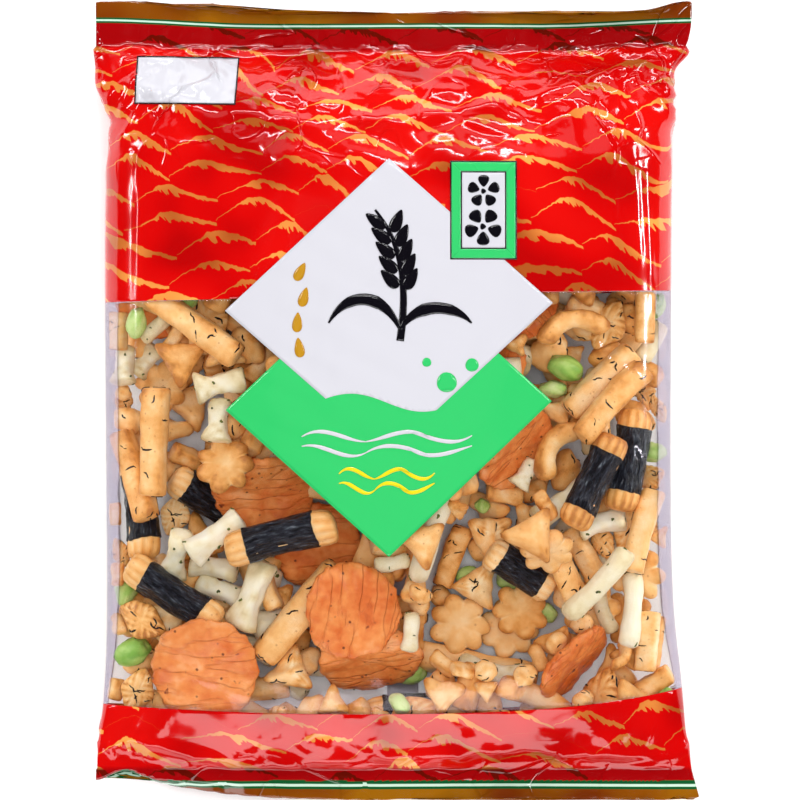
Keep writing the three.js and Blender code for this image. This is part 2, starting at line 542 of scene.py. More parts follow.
def turned(turn, lean, up):
    """A matrix that rolls a cracker about its long side by lean, turns it flat, then tips it to the up direction."""
    c, s = math.cos(math.radians(lean)), math.sin(math.radians(lean))
    lean_matrix = np.array([[1, 0, 0], [0, c, -s], [0, s, c]])
    c, s = math.cos(math.radians(turn)), math.sin(math.radians(turn))
    turn_matrix = np.array([[c, -s, 0], [s, c, 0], [0, 0, 1]])
    tip_matrix = np.array(UP.rotation_difference(up).to_matrix())
    return tip_matrix @ turn_matrix @ lean_matrix


class Copy:
    """One cracker: a Form at its own size, with its own lumps, where it lies in the bag."""

    def __init__(self, kind, forms, size, seed):
        rng = np.random.default_rng(seed)
        self.kind = kind
        self.form = forms[kind][rng.integers(len(forms[kind]))]
        longest = KINDS[kind][2]
        scale = (size or longest * rng.uniform(0.86, 1.1)) / longest
        scale = np.array([scale, scale ** 0.45, scale ** 0.45] if kind in ("stick", "white", "bone", "wrapped")
                         else [scale, scale, scale ** 0.5])
        scale *= rng.uniform(0.94, 1.06, 3)
        points = self.form.points * scale
        uneven = (0.16 if kind in ("stick", "wrapped") else 0.3) * lumps(points, 9, seed) + 0.1 * lumps(points, 4, seed + 1)
        points = points + self.form.normals * uneven[:, None]
        sag = rng.normal(0, 0.0022)
        points[:, 2] += sag * (points[:, 0] ** 2 - points[:, 1] ** 2)
        points[:, 1] += rng.normal(0, 0.0016) * points[:, 0] ** 2
        self.points = points - (points.max(0) + points.min(0)) / 2
        self.tint = rng.uniform()
        self.shift = rng.uniform(-500, 500, 3)

    def settle(self, bag, place, turn, lean, rising, ease):
        """The tilt that brings the cracker nearest the film: (how near, its points), or None where nothing fits."""
        best = None
        up = UP
        for share in (0, 0.6, 1):
            laid = self.points @ turned(turn, lean, UP.slerp(up, share) if share else UP).T + (*place, 0)
            if not share:
                up = slope_over(bag, laid, rising)
            lift = height_to_touch(bag, laid, rising, ease)
            near = None if lift is None else lift if rising else -lift
            if near is not None and (best is None or near > best[0]):
                best = (near, laid + (0, 0, lift))
        return best


def lay(bag, copy, best, rising, laid):
    copy.points = best[1]
    take_place(bag, copy.points, rising)
    laid.append(copy)


# Crackers that lie against the front of the film, top ones first: kind, x, y, turn in degrees, long side, lean in degrees.
FRONT_LAYER = [
    ("stick", -77, 28, -35, 43, 0),
    ("disc", -73, -103, 0, 41, 8),
    ("disc", -17, -80, 80, 38, 14),
    ("stick", -37, -81, 50, 47, 0),
    ("wrapped", -44, -52, 14, 41, 0),
    ("wrapped", -85, -74, -32, 40, 0),
    ("bone", -55, -74, 67, 28, 0),
    ("bone", -69, -52, 35, 23, 0),
    ("bone", -84, -59, 75, 19, 0),
    ("bone", -67, 6, 12, 20, 0),
    ("bone", -68, -8, 85, 17, 0),
    ("triangle", -82, 13, -90, 20, 0),
    ("stick", -92, -16, 88, 39, 0),
    ("flower", -65, -25, 0, 20, 0),
    ("disc", -51, -36, 8, 38, 38),
    ("wrapped", -73, -38, -28, 31, 0),
    ("stick", -101, -29, -70, 36, 0),
    ("wrapped", -104, -41, -84, 38, 0),
    ("white", 76, -70, 45, 34, 0),
    ("stick", 81, -1, 45, 35, 0),
    ("stick", 77, 7, 42, 34, 0),
    ("wrapped", 74, -31, 63, 37, 0),
    ("wrapped", 88, -23, 80, 40, 0),
    ("stick", 93, -50, 75, 32, 0),
    ("triangle", 52, -49, 60, 21, 0),
    ("flower", 57, -57, 20, 20, 60),
    ("stick", 64, -67, -65, 32, 0),
    ("white", 89, -80, 88, 30, 0),
    ("flower", 98, -67, 0, 20, 0),
    ("wrapped", 47, -65, -32, 31, 0),
    ("shell", 35, -54, -90, 19, 0),
    ("shell", 32, -73, -60, 18, 0),
    ("stick", 21, -60, 70, 24, 0),
    ("flower", 24, -86, 0, 22, 0),
    ("stick", 16, -99, 90, 22, 0),
    ("arch", 10, -73, 30, 24, 0),
    ("white", 5, -88, 85, 15, 0),
    ("triangle", 10, -56, -80, 18, 0),
    ("disc", -10, -99, 5, 40, 66),
    ("disc", -31, -56, 6, 34, 50),
    ("white", -2, -62, 10, 13, 0),
    ("pea", 98, -20, 0, 11, 0),
    ("pea", 64, 12, -20, 14, 0),
    ("pea", -99, 29, 85, 12, 0),
    ("stick", -106, 26, 88, 15, 0),
    ("white", -92, 27, 40, 13, 0),
    ("triangle", -64, 17, -20, 15, 0),
    ("stub", -85, 23, 60, 11, 0),
    ("bone", -106, 13, 88, 14, 0),
    ("bone", -96, 15, 50, 13, 0),
    ("flower", -96, 5, 15, 19, 25),
    ("triangle", -79, -4, -70, 19, 0),
    ("pebble", -103, -8, -20, 13, 0),
    ("stub", -81, -22, -30, 13, 0),
    ("white", -49, -25, 60, 13, 0),
    ("pebble", -57, 20, -50, 15, 0),
    ("stub", -52, 13, 50, 14, 0),
    ("leaf", -81, -29, 5, 15, 60),
    ("bone", -70, -64, -15, 18, 0),
    ("bone", -67, -73, -25, 19, 0),
    ("leaf", -97, -84, -25, 23, 0),
    ("pea", -101, -96, 25, 15, 0),
    ("leaf", -99, -111, 70, 18, 0),
    ("pebble", -102, -104, 30, 13, 0),
    ("stub", -49, -73, -70, 14, 0),
    ("shell", -43, -104, 200, 18, 0),
    ("pebble", -36, -101, 30, 15, 0),
    ("shell", -40, -64, 15, 15, 0),
    ("pea", 99, -54, -75, 13, 0),
    ("leaf", 97, -30, 25, 15, 0),
    ("arch", 60, -18, -130, 23, 0),
    ("bone", 49, -28, 55, 12, 0),
    ("disc", 45, -19, 42, 34, 45),
    ("stub", 56, -40, -60, 11, 0),
    ("bone", 78, -47, 10, 18, 0),
    ("arch", 66, 28, -170, 24, 0),
    ("leaf", 80, 28, 60, 20, 0),
    ("stick", 94, 33, 88, 23, 0),
    ("pea", 102, 36, 80, 11, 0),
    ("pebble", 58, 18, 40, 17, 0),
    ("pea", 59, 4, 0, 11, 0),
    ("white", 98, 22, 60, 17, 0),
    ("stub", 94, 11, -30, 14, 0),
    ("triangle", 100, 6, 100, 17, 0),
    ("pebble", 94, -7, -40, 15, 0),
    ("flower", 47, -81, 25, 21, 0),
    ("pea", 49, -73, -20, 12, 0),
    ("flower", 43, -94, 0, 21, 20),
    ("leaf", 57, -98, -50, 24, 0),
    ("disc", 67, -100, 48, 34, 70),
    ("disc", 41, -109, 0, 37, 36),
    ("triangle", 85, -105, 20, 21, 0),
    ("stick", 95, -92, 86, 24, 0),
    ("stick", 100, -96, 84, 21, 0),
    ("bone", 102, -108, 50, 15, 0),
    ("leaf", 72, -111, 40, 17, 0),
    ("bone", -24, -108, -20, 20, 0),
    ("shell", -4, -106, 10, 19, 0),
    ("wrapped", 25, -39, 55, 31, 0),
    ("stub", 41, -36, -10, 14, 0),
    ("pebble", 52, -35, 20, 11, 0),
    ("stub", 6, -111, -10, 15, 0),
    ("triangle", 19, -111, 20, 17, 0),
    ("stick", 71, -59, -60, 23, 0),
    ("white", 79, -81, -70, 17, 0),
    ("pebble", 64, -27, 70, 15, 0),
    ("wrapped", 62, -31, -40, 23, 0),
    ("stick", -53, -111, 10, 23, 0),
    ("triangle", -60, -115, -20, 18, 0),
    ("stub", 100, -40, 80, 14, 0),
    ("leaf", -85, -44, 70, 17, 0),
    ("pebble", -39, -92, 80, 15, 0),
    ("triangle", 91, -115, 0, 18, 0),
    ("arch", -26, -115, 0, 23, 0),
    ("white", -41, -111, -30, 15, 0),
    ("stick", -91, -115, -10, 19, 0),
    ("pea", 5, -105, 10, 12, 0),
]
BACK_COPIES = 330
MOST_COPIES = 400
BROKEN_COPIES = 110  # small and broken ones, in what is left
CRUMBS = 120
FILL_TRIES = 2000
TURNS_TRIED = 4
SMALLEST_ROOM = 7.5  # mm of free height that a cracker is tried in
FLAT_KINDS = ("disc", "leaf", "flower")
SMALL_KINDS = ("stub", "stub", "pebble", "triangle", "bone", "shell", "triangle")
GAP_KINDS = ("flower", "leaf", "triangle", "stub")
GAP_COPIES = 120
WINDOW_CELLS = (34, 200)  # the rows of the grid that the clear window shows
FRONT_EASE = 0.02
FILL_EASE = 0.1


def lay_front(bag, forms):
    """Lays the crackers of the front layer, each pushed inwards until it fits."""
    laid = []
    for number, (kind, x, y, turn, size, lean) in enumerate(FRONT_LAYER):
        copy = Copy(kind, forms, size, seed=number)
        for nudge in range(10):
            place = (x - np.sign(x) * nudge * (abs(x) > 80), y - np.sign(y) * nudge * (abs(y) > 90))
            best = copy.settle(bag, place, turn, lean * (1 - nudge / 12), True, FRONT_EASE)
            if best is not None:
                lay(bag, copy, best, True, laid)
                break
    return laid


def best_turn(bag, copy, place, rng, rising):
    """The cracker's best fit at a place, of a few random turns."""
    best = None
    for turn in rng.uniform(0, 180, TURNS_TRIED):
        lean = rng.uniform(-20, 20) if copy.kind in FLAT_KINDS else rng.uniform(0, 360)
        found = copy.settle(bag, place, turn, lean, rising, FILL_EASE)
        if found is not None and (best is None or found[0] > best[0]):
            best = found
    return best


def fill(bag, forms, rising, most, seed, share=1.0, tries=FILL_TRIES, gaps=False):
    """Fills what is left with a random mix: first where nothing lies yet, then what is nearest the film.
    share scales the crackers and the room they are tried in; gaps keeps to where the bag can be seen through."""
    rng = np.random.default_rng(seed)
    names = list(KINDS)
    weights = np.array([KINDS[name][1] for name in names], float)
    weights /= weights.sum()
    laid = []
    tried = np.zeros_like(bag.front)
    for attempt in range(tries):
        if len(laid) >= most:
            break
        depth = bag.front - bag.ceiling if rising else bag.floor - bag.back
        free = (bag.room() > SMALLEST_ROOM * share) & (tried < 3)
        if gaps:
            free &= (bag.front - bag.ceiling < 1) & (bag.floor - bag.back < 1)
            free[:, :WINDOW_CELLS[0]] = False
            free[:, WINDOW_CELLS[1]:] = False
        bare = np.argwhere(free & (depth < 1))
        cells = bare if len(bare) > 25 else np.argwhere(free)
        if not len(cells):
            break
        cells = cells[rng.integers(len(cells), size=20)]
        cell = cells[np.argmin(depth[tuple(cells.T)])]
        place = (cell - REACH + 0.5) * CELL
        mix = (names[rng.choice(len(names), p=weights)], *rng.choice(SMALL_KINDS, 2, replace=False))
        for name in rng.permutation(GAP_KINDS) if gaps else mix:
            copy = Copy(str(name), forms, KINDS[str(name)][2] * share, seed=seed * 10000 + attempt)
            best = best_turn(bag, copy, place, rng, rising)
            if best is not None:
                lay(bag, copy, best, rising, laid)
                break
        else:
            i, j = cell
            beside = 1 if gaps else 2
            tried[i - beside:i + beside + 1, j - beside:j + beside + 1] += 1
    return laid


def fill_bag(film):
    bag = Bag(film)
    forms = model_kinds()
    laid = lay_front(bag, forms)
    laid += fill(bag, forms, rising=False, most=BACK_COPIES, seed=2)
    laid += fill(bag, forms, rising=False, most=GAP_COPIES, seed=7, share=0.9, tries=700, gaps=True)
    laid += fill(bag, forms, rising=True, most=MOST_COPIES, seed=1)
    laid += fill(bag, forms, rising=False, most=GAP_COPIES, seed=8, share=0.6, tries=700, gaps=True)
    laid += fill(bag, forms, rising=True, most=BROKEN_COPIES, seed=3, share=0.66)
    laid += fill(bag, forms, rising=False, most=GAP_COPIES, seed=9, share=0.45, tries=500, gaps=True)
    laid += fill(bag, forms, rising=True, most=CRUMBS, seed=5, share=0.45, tries=600)
    return laid


def mesh_piece(name, points, faces, attributes):
    """A mesh piece in metres, smooth shaded; attributes holds a float or a vector for each point."""
    mesh = bpy.data.meshes.new(name)
    starts = np.cumsum([0] + [len(face) for face in faces[:-1]])
    corners = np.concatenate([np.asarray(face) for face in faces])
    mesh.vertices.add(len(points))
    mesh.vertices.foreach_set("co", (points * MM).ravel())
    mesh.loops.add(len(corners))
    mesh.loops.foreach_set("vertex_index", corners)
    mesh.polygons.add(len(faces))
    mesh.polygons.foreach_set("loop_start", starts)
    mesh.update(calc_edges=True)
    for key, values in attributes.items():
        vector = values.ndim == 2
        made = mesh.attributes.new(key, "FLOAT_VECTOR" if vector else "FLOAT", "POINT")
        made.data.foreach_set("vector" if vector else "value", values.ravel())
    mesh.shade_smooth()
    piece = bpy.data.objects.new(name, mesh)
    bpy.context.scene.collection.objects.link(piece)
    return piece


PIECE_OF = {"nori": "nori_wraps", "green_fleck": "green_flecks"}


def cracker_pieces(laid):
    """Joins the copies into one piece for each kind and finish, with what the finishes read on every point."""
    bins = {}
    for copy in laid:
        for finish, faces in copy.form.faces.items():
            name = PIECE_OF.get(finish, f"{copy.kind}_crackers")
            bins.setdefault((name, finish), []).append((copy, faces))
    pieces = []
    for (name, finish), members in bins.items():
        points, faces, own, tint, ridge = [], [], [], [], []
        count = 0
        for copy, found in members:
            used = np.unique(np.concatenate([np.asarray(face) for face in found]))
            renumber = np.full(len(copy.points), -1)
            renumber[used] = np.arange(len(used)) + count
            faces.extend([renumber[face] for face in found])
            points.append(copy.points[used])
            own.append(copy.form.points[used] + copy.shift)
            ridge.append(copy.form.ridge[used])
            tint.append(np.full(len(used), copy.tint))
            count += len(used)
        table = {"own": np.vstack(own), "tint": np.concatenate(tint), "ridge": np.concatenate(ridge)}
        piece = mesh_piece(name, np.vstack(points), faces, table)
        piece.data.materials.append(FINISHES[finish])
        pieces.append(piece)
    return pieces


# ---------------------------------------------------------------- finishes

FACTOR, FIRST, SECOND = 0, 6, 7  # the sockets of a colour mix


def linear(colour):
    """An sRGB hex colour as linear RGBA."""
    channels = [int(colour[i:i + 2], 16) / 255 for i in (1, 3, 5)]
    return (*[c / 12.92 if c <= 0.04045 else ((c + 0.055) / 1.055) ** 2.4 for c in channels], 1.0)


def add(tree, kind, inputs=None, stops=None, **settings):
    """Adds a shader node. inputs gives each socket its value, or the node or output that feeds it; stops are the
    places and colours of a ramp."""
    made = tree.nodes.new(f"ShaderNode{kind}")
    for name, value in settings.items():
        setattr(made, name, value)
    for key, value in (inputs or {}).items():
        if isinstance(value, bpy.types.Node):
            value = next(output for output in value.outputs if output.enabled)
        if isinstance(value, bpy.types.NodeSocket):
            tree.links.new(value, made.inputs[key])
        else:
            made.inputs[key].default_value = value
    if stops:
        ramp = made.color_ramp.elements
        while len(ramp) < len(stops):
            ramp.new(1.0)
        for element, (position, colour) in zip(ramp, stops):
            element.position = position
            element.color = linear(colour)
    return made


def new_finish(name):
    finish = bpy.data.materials.new(name)
    finish.use_nodes = True
    finish.node_tree.nodes.clear()
    return finish, finish.node_tree


def baked(name, colours, rough, grain, freckle=None):
    """Baked, puffed rice dough. It is pale in its hollows, browner in blotches and on its ridges, and the oven and
    the glaze leave it satin, over a fine grain streaked along it. freckle is the colour of small dark specks."""
    finish, tree = new_finish(name)
    own = add(tree, "Attribute", attribute_name="own").outputs["Vector"]
    tint = add(tree, "Attribute", attribute_name="tint").outputs["Fac"]
    ridge = add(tree, "Attribute", attribute_name="ridge").outputs["Fac"]
    broad = add(tree, "TexNoise", {"Vector": own, "Scale": 1 / 9})
    small = add(tree, "TexNoise", {"Vector": own, "Scale": 1 / 2.6, "Detail": 4.0})
    brown = add(tree, "Math", {0: broad, 1: 0.75, 2: -0.37}, operation="MULTIPLY_ADD")
    brown = add(tree, "Math", {0: small, 1: 0.45, 2: brown}, operation="MULTIPLY_ADD")
    brown = add(tree, "Math", {0: tint, 1: 0.42, 2: brown}, operation="MULTIPLY_ADD")
    brown = add(tree, "Math", {0: ridge, 1: 0.9, 2: brown}, operation="MULTIPLY_ADD", use_clamp=True)
    colour = add(tree, "ValToRGB", {"Fac": brown}, stops=colours)
    if freckle:
        speck = add(tree, "TexVoronoi", {"Vector": own, "Scale": 1 / 3.4})
        dot = add(tree, "Math", {0: speck, 1: -14, 2: 2.2}, operation="MULTIPLY_ADD", use_clamp=True)
        faint = add(tree, "Math", {0: dot, 1: 0.5}, operation="MULTIPLY")
        colour = add(tree, "Mix", {FACTOR: faint, FIRST: colour, SECOND: linear(freckle)}, data_type="RGBA")
    fine = add(tree, "TexNoise", {"Vector": own, "Scale": 1 / 0.75})
    along = add(tree, "VectorMath", {0: own, 1: (0.3, 1.0, 1.0)}, operation="MULTIPLY")
    streaks = add(tree, "TexNoise", {"Vector": along, "Scale": 1 / 1.7})
    relief = add(tree, "Math", {0: streaks, 1: 1.6, 2: fine}, operation="MULTIPLY_ADD")
    bump = add(tree, "Bump", {"Height": relief, "Strength": 0.8, "Distance": grain * MM})
    shader = add(tree, "BsdfPrincipled", {
        "Base Color": colour, "Roughness": rough, "IOR": 1.45, "Normal": bump,
        "Coat Weight": 0.18, "Coat Roughness": 0.3,
    })
    add(tree, "OutputMaterial", {"Surface": shader})
    return finish


def chilli_glaze():
    """Glazed rice cracker, orange from chilli and soy: flow cracks run across it, it has soaked dark in patches,
    and specks of chilli stick to it."""
    finish, tree = new_finish("chilli_glazed_rice_cracker")
    own = add(tree, "Attribute", attribute_name="own").outputs["Vector"]
    tint = add(tree, "Attribute", attribute_name="tint").outputs["Fac"]
    broad = add(tree, "TexNoise", {"Vector": own, "Scale": 1 / 12})
    small = add(tree, "TexNoise", {"Vector": own, "Scale": 1 / 3, "Detail": 3.0})
    deep = add(tree, "Math", {0: small, 1: 0.5, 2: -0.35}, operation="MULTIPLY_ADD")
    deep = add(tree, "Math", {0: broad, 1: 0.9, 2: deep}, operation="MULTIPLY_ADD")
    deep = add(tree, "Math", {0: tint, 1: 0.2, 2: deep}, operation="MULTIPLY_ADD", use_clamp=True)
    stops = [(0.0, "#FCBC82"), (0.35, "#F2964E"), (0.65, "#E27432"), (1.0, "#C2541E")]
    colour = add(tree, "ValToRGB", {"Fac": deep}, stops=stops)

    along = add(tree, "VectorMath", {0: own, 1: (0.22, 1.0, 1.0)}, operation="MULTIPLY")
    flow = add(tree, "TexNoise", {"Vector": along, "Scale": 1 / 7.5})
    off = add(tree, "Math", {0: flow, 1: 0.5}, operation="SUBTRACT")
    off = add(tree, "Math", {0: off}, operation="ABSOLUTE")
    crack = add(tree, "Math", {0: off, 1: -34.0, 2: 1.0}, operation="MULTIPLY_ADD", use_clamp=True)
    faint = add(tree, "Math", {0: crack, 1: 0.22}, operation="MULTIPLY")
    colour = add(tree, "Mix", {FACTOR: faint, FIRST: colour, SECOND: linear("#C0501E")}, data_type="RGBA")

    soaked = add(tree, "TexNoise", {"Vector": own, "Scale": 1 / 4.2})
    soaked = add(tree, "Math", {0: soaked, 1: 18.0, 2: -12.6}, operation="MULTIPLY_ADD", use_clamp=True)
    soaked = add(tree, "Math", {0: soaked, 1: 0.85}, operation="MULTIPLY")
    colour = add(tree, "Mix", {FACTOR: soaked, FIRST: colour, SECOND: linear("#6E1E18")}, data_type="RGBA")
    speck = add(tree, "TexVoronoi", {"Vector": own, "Scale": 1 / 5.0})
    dot = add(tree, "Math", {0: speck, 1: -16, 2: 2.3}, operation="MULTIPLY_ADD", use_clamp=True)
    dot = add(tree, "Math", {0: dot, 1: 0.8}, operation="MULTIPLY")
    colour = add(tree, "Mix", {FACTOR: dot, FIRST: colour, SECOND: linear("#521C14")}, data_type="RGBA")

    relief = add(tree, "Math", {0: small, 1: 0.7}, operation="MULTIPLY")
    relief = add(tree, "Math", {0: crack, 1: -0.4, 2: relief}, operation="MULTIPLY_ADD")
    bump = add(tree, "Bump", {"Height": relief, "Strength": 1.0, "Distance": 0.8 * MM})
    shader = add(tree, "BsdfPrincipled", {
        "Base Color": colour, "Roughness": 0.42, "IOR": 1.45, "Normal": bump,
        "Coat Weight": 0.2, "Coat Roughness": 0.25,
    })
    add(tree, "OutputMaterial", {"Surface": shader})
    return finish


def nori_sheet():
    """Toasted laver: near black, crinkled finely along the sheet; the grey on the crinkles is painted sheen, a painted
    highlight where they would catch the light.
    """
    finish, tree = new_finish("toasted_nori")
    own = add(tree, "Attribute", attribute_name="own").outputs["Vector"]
    along = add(tree, "VectorMath", {0: own, 1: (0.25, 1.0, 1.0)}, operation="MULTIPLY")
    crinkles_and_painted_sheen = add(tree, "TexNoise", {"Vector": along, "Scale": 1 / 1.3, "Detail": 3.0, "Roughness": 0.6})
    # painted sheen: the grey stops paint highlights on the crinkles
    stops = [(0.42, "#121218"), (0.56, "#24262E"), (0.64, "#3C4148"), (0.72, "#6C737A")]
    colour = add(tree, "ValToRGB", {"Fac": crinkles_and_painted_sheen}, stops=stops)
    bump = add(tree, "Bump", {"Height": crinkles_and_painted_sheen, "Strength": 1.0, "Distance": 1.4 * MM})
    shader = add(tree, "BsdfPrincipled", {"Base Color": colour, "Roughness": 0.24, "IOR": 1.42, "Normal": bump})
    add(tree, "OutputMaterial", {"Surface": shader})
    return finish


def green_seaweed():
    """Powdered green laver, in matt olive flakes."""
    finish, tree = new_finish("green_laver")
    own = add(tree, "Attribute", attribute_name="own").outputs["Vector"]
    tone = add(tree, "TexNoise", {"Vector": own, "Scale": 1 / 1.2})
    colour = add(tree, "ValToRGB", {"Fac": tone}, stops=[(0.35, "#3A4420"), (0.65, "#76803A")])
    shader = add(tree, "BsdfPrincipled", {"Base Color": colour, "Roughness": 0.7})
    add(tree, "OutputMaterial", {"Surface": shader})
    return finish


FINISHES = {
    "baked_rice": baked(
        "soy_glazed_rice_dough",
        [(0.0, "#FFE2B2"), (0.3, "#FBD298"), (0.55, "#F6BF78"), (0.8, "#E8A355"), (1.0, "#C07A38")], 0.5, 0.16,
        freckle="#B87034",
    ),
    "chilli_glaze": chilli_glaze(),
    "white_rice": baked(
        "white_rice_puff", [(0.0, "#F8F3DE"), (0.4, "#F4EBCC"), (0.7, "#EBDCB2"), (1.0, "#D6BF8A")], 0.55, 0.14,
    ),
    "pea_coat": baked(
        "green_pea_coat", [(0.0, "#E8F0BA"), (0.4, "#CADF8E"), (0.7, "#A6CB66"), (1.0, "#7CAE46")], 0.45, 0.3,
    ),
    "nori": nori_sheet(),
    "green_fleck": green_seaweed(),
}


INKS = {"white": "#B9B8BF", "green": "#2BAE5C", "black": "#0C0A10", "gold": "#A87A18", "yellow": "#CCC014"}


def printing_ink(name, colour):
    """Gravure ink under a film: a flat even colour with the film's own gloss and its faint waves."""
    finish, tree = new_finish(f"{name}_gravure_ink")
    place = add(tree, "TexCoord").outputs["Object"]
    shader = add(tree, "BsdfPrincipled", {
        "Base Color": linear(colour), "Roughness": 0.14, "IOR": 1.5, "Normal": crinkle_bump(tree, place),
    })
    add(tree, "OutputMaterial", {"Surface": shader})
    return finish


def crinkle_bump(tree, place):
    """The film's fine relief, in mm: soft folds and pinched creases where it hangs loose, faint ripples where it
    is tight."""
    loose = add(tree, "Attribute", attribute_name="loose").outputs["Fac"]
    folds = add(tree, "TexNoise", {
        "Vector": place, "Scale": 1 / (24 * MM), "Detail": 2.0, "Roughness": 0.5, "Distortion": 0.5,
    }, noise_type="RIDGED_MULTIFRACTAL", normalize=True)
    sway = add(tree, "TexNoise", {"Vector": place, "Scale": 1 / (30 * MM), "Detail": 1.0}).outputs["Color"]
    swayed = add(tree, "VectorMath", {0: sway, 1: (0.02, 0.02, 0.02), 2: place}, operation="MULTIPLY_ADD")

    cells = add(tree, "TexVoronoi", {
        "Vector": swayed, "Scale": 1 / (21 * MM), "Randomness": 1.0,
    }, feature="DISTANCE_TO_EDGE")
    pinch = add(tree, "Math", {0: cells, 1: -21 / 1.1, 2: 1.0}, operation="MULTIPLY_ADD", use_clamp=True)
    pinch = add(tree, "Math", {0: pinch, 1: 1.6}, operation="POWER")
    curls = add(tree, "TexNoise", {"Vector": swayed, "Scale": 1 / (13 * MM), "Detail": 0.0})
    off = add(tree, "Math", {0: curls, 1: 0.5}, operation="SUBTRACT")
    off = add(tree, "Math", {0: off}, operation="ABSOLUTE")
    curl = add(tree, "Math", {0: off, 1: -9.0, 2: 1.0}, operation="MULTIPLY_ADD", use_clamp=True)
    curl = add(tree, "Math", {0: curl, 1: 2.0}, operation="POWER")

    patches = add(tree, "TexNoise", {"Vector": place, "Scale": 1 / (26 * MM), "Detail": 1.0})
    here = add(tree, "Math", {0: patches, 1: 9.0, 2: -4.3}, operation="MULTIPLY_ADD", use_clamp=True)
    there = add(tree, "Math", {0: patches, 1: -9.0, 2: 4.0}, operation="MULTIPLY_ADD", use_clamp=True)
    sharp = add(tree, "Math", {0: pinch, 1: here}, operation="MULTIPLY")
    curl = add(tree, "Math", {0: curl, 1: there}, operation="MULTIPLY")
    sharp = add(tree, "Math", {0: curl, 1: 0.7, 2: sharp}, operation="MULTIPLY_ADD")
    height = add(tree, "Math", {0: sharp, 1: 0.5, 2: folds}, operation="MULTIPLY_ADD")
    height = add(tree, "Math", {0: height, 1: loose}, operation="MULTIPLY")
    ripple = add(tree, "TexNoise", {"Vector": place, "Scale": 1 / (12 * MM), "Detail": 1.0})
    height = add(tree, "Math", {0: ripple, 1: 0.22, 2: height}, operation="MULTIPLY_ADD")
    return add(tree, "Bump", {"Height": height, "Strength": 1.0, "Distance": 1.0 * MM})


def clear_film():
    """Cast polypropylene: it lets nearly all through, and shines where it turns aside."""
    finish, tree = new_finish("clear_polypropylene")
    place = add(tree, "TexCoord").outputs["Object"]
    ripple = add(tree, "TexNoise", {"Vector": place, "Scale": 1 / (14 * MM), "Detail": 1.0})
    normal = add(tree, "Bump", {"Height": ripple, "Strength": 1.0, "Distance": 0.25 * MM})
    slant = add(tree, "Fresnel", {"IOR": 1.4})
    share = add(tree, "Math", {0: slant, 1: 0.55}, operation="MULTIPLY")
    share = add(tree, "Math", {0: share, 1: 0.5}, operation="MINIMUM")
    deep = add(tree, "Math", {0: share, 1: 0.9, 2: -0.09}, operation="MULTIPLY_ADD", use_clamp=True)
    tint = add(tree, "Mix", {FACTOR: deep, FIRST: linear("#FFFFFF"), SECOND: linear("#CAC4D6")}, data_type="RGBA")
    through = add(tree, "BsdfTransparent", {"Color": tint})
    shine = add(tree, "BsdfPrincipled", {
        "Base Color": linear("#E6E0EC"), "Metallic": 1.0, "Roughness": 0.09, "Normal": normal,
    })
    mix = add(tree, "MixShader", {0: share, 1: through, 2: shine})
    add(tree, "OutputMaterial", {"Surface": mix})
    return finish


def welded_clear_film():
    """The fin seal's three hot-pressed layers of clear film, drawn opaque: its grey-lavender colour is painted shadow,
    standing for the shaded table that would show through.
    """
    finish, tree = new_finish("painted_shadow_fin_film")
    place = add(tree, "TexCoord").outputs["Object"]
    ripple = add(tree, "TexNoise", {"Vector": place, "Scale": 1 / (14 * MM), "Detail": 1.0})
    normal = add(tree, "Bump", {"Height": ripple, "Strength": 1.0, "Distance": 0.25 * MM})
    # painted shadow: this grey-lavender base colour stands for the shaded table seen through the seal
    shader = add(tree, "BsdfPrincipled", {
        "Base Color": linear("#A8A0A8"), "Roughness": 0.35, "IOR": 1.5, "Normal": normal,
    })
    add(tree, "OutputMaterial", {"Surface": shader})
    return finish


ROW = 18.6  # mm between rows of ridges, before the second set is laid between them
STEP = 31.0  # mm from peak to peak


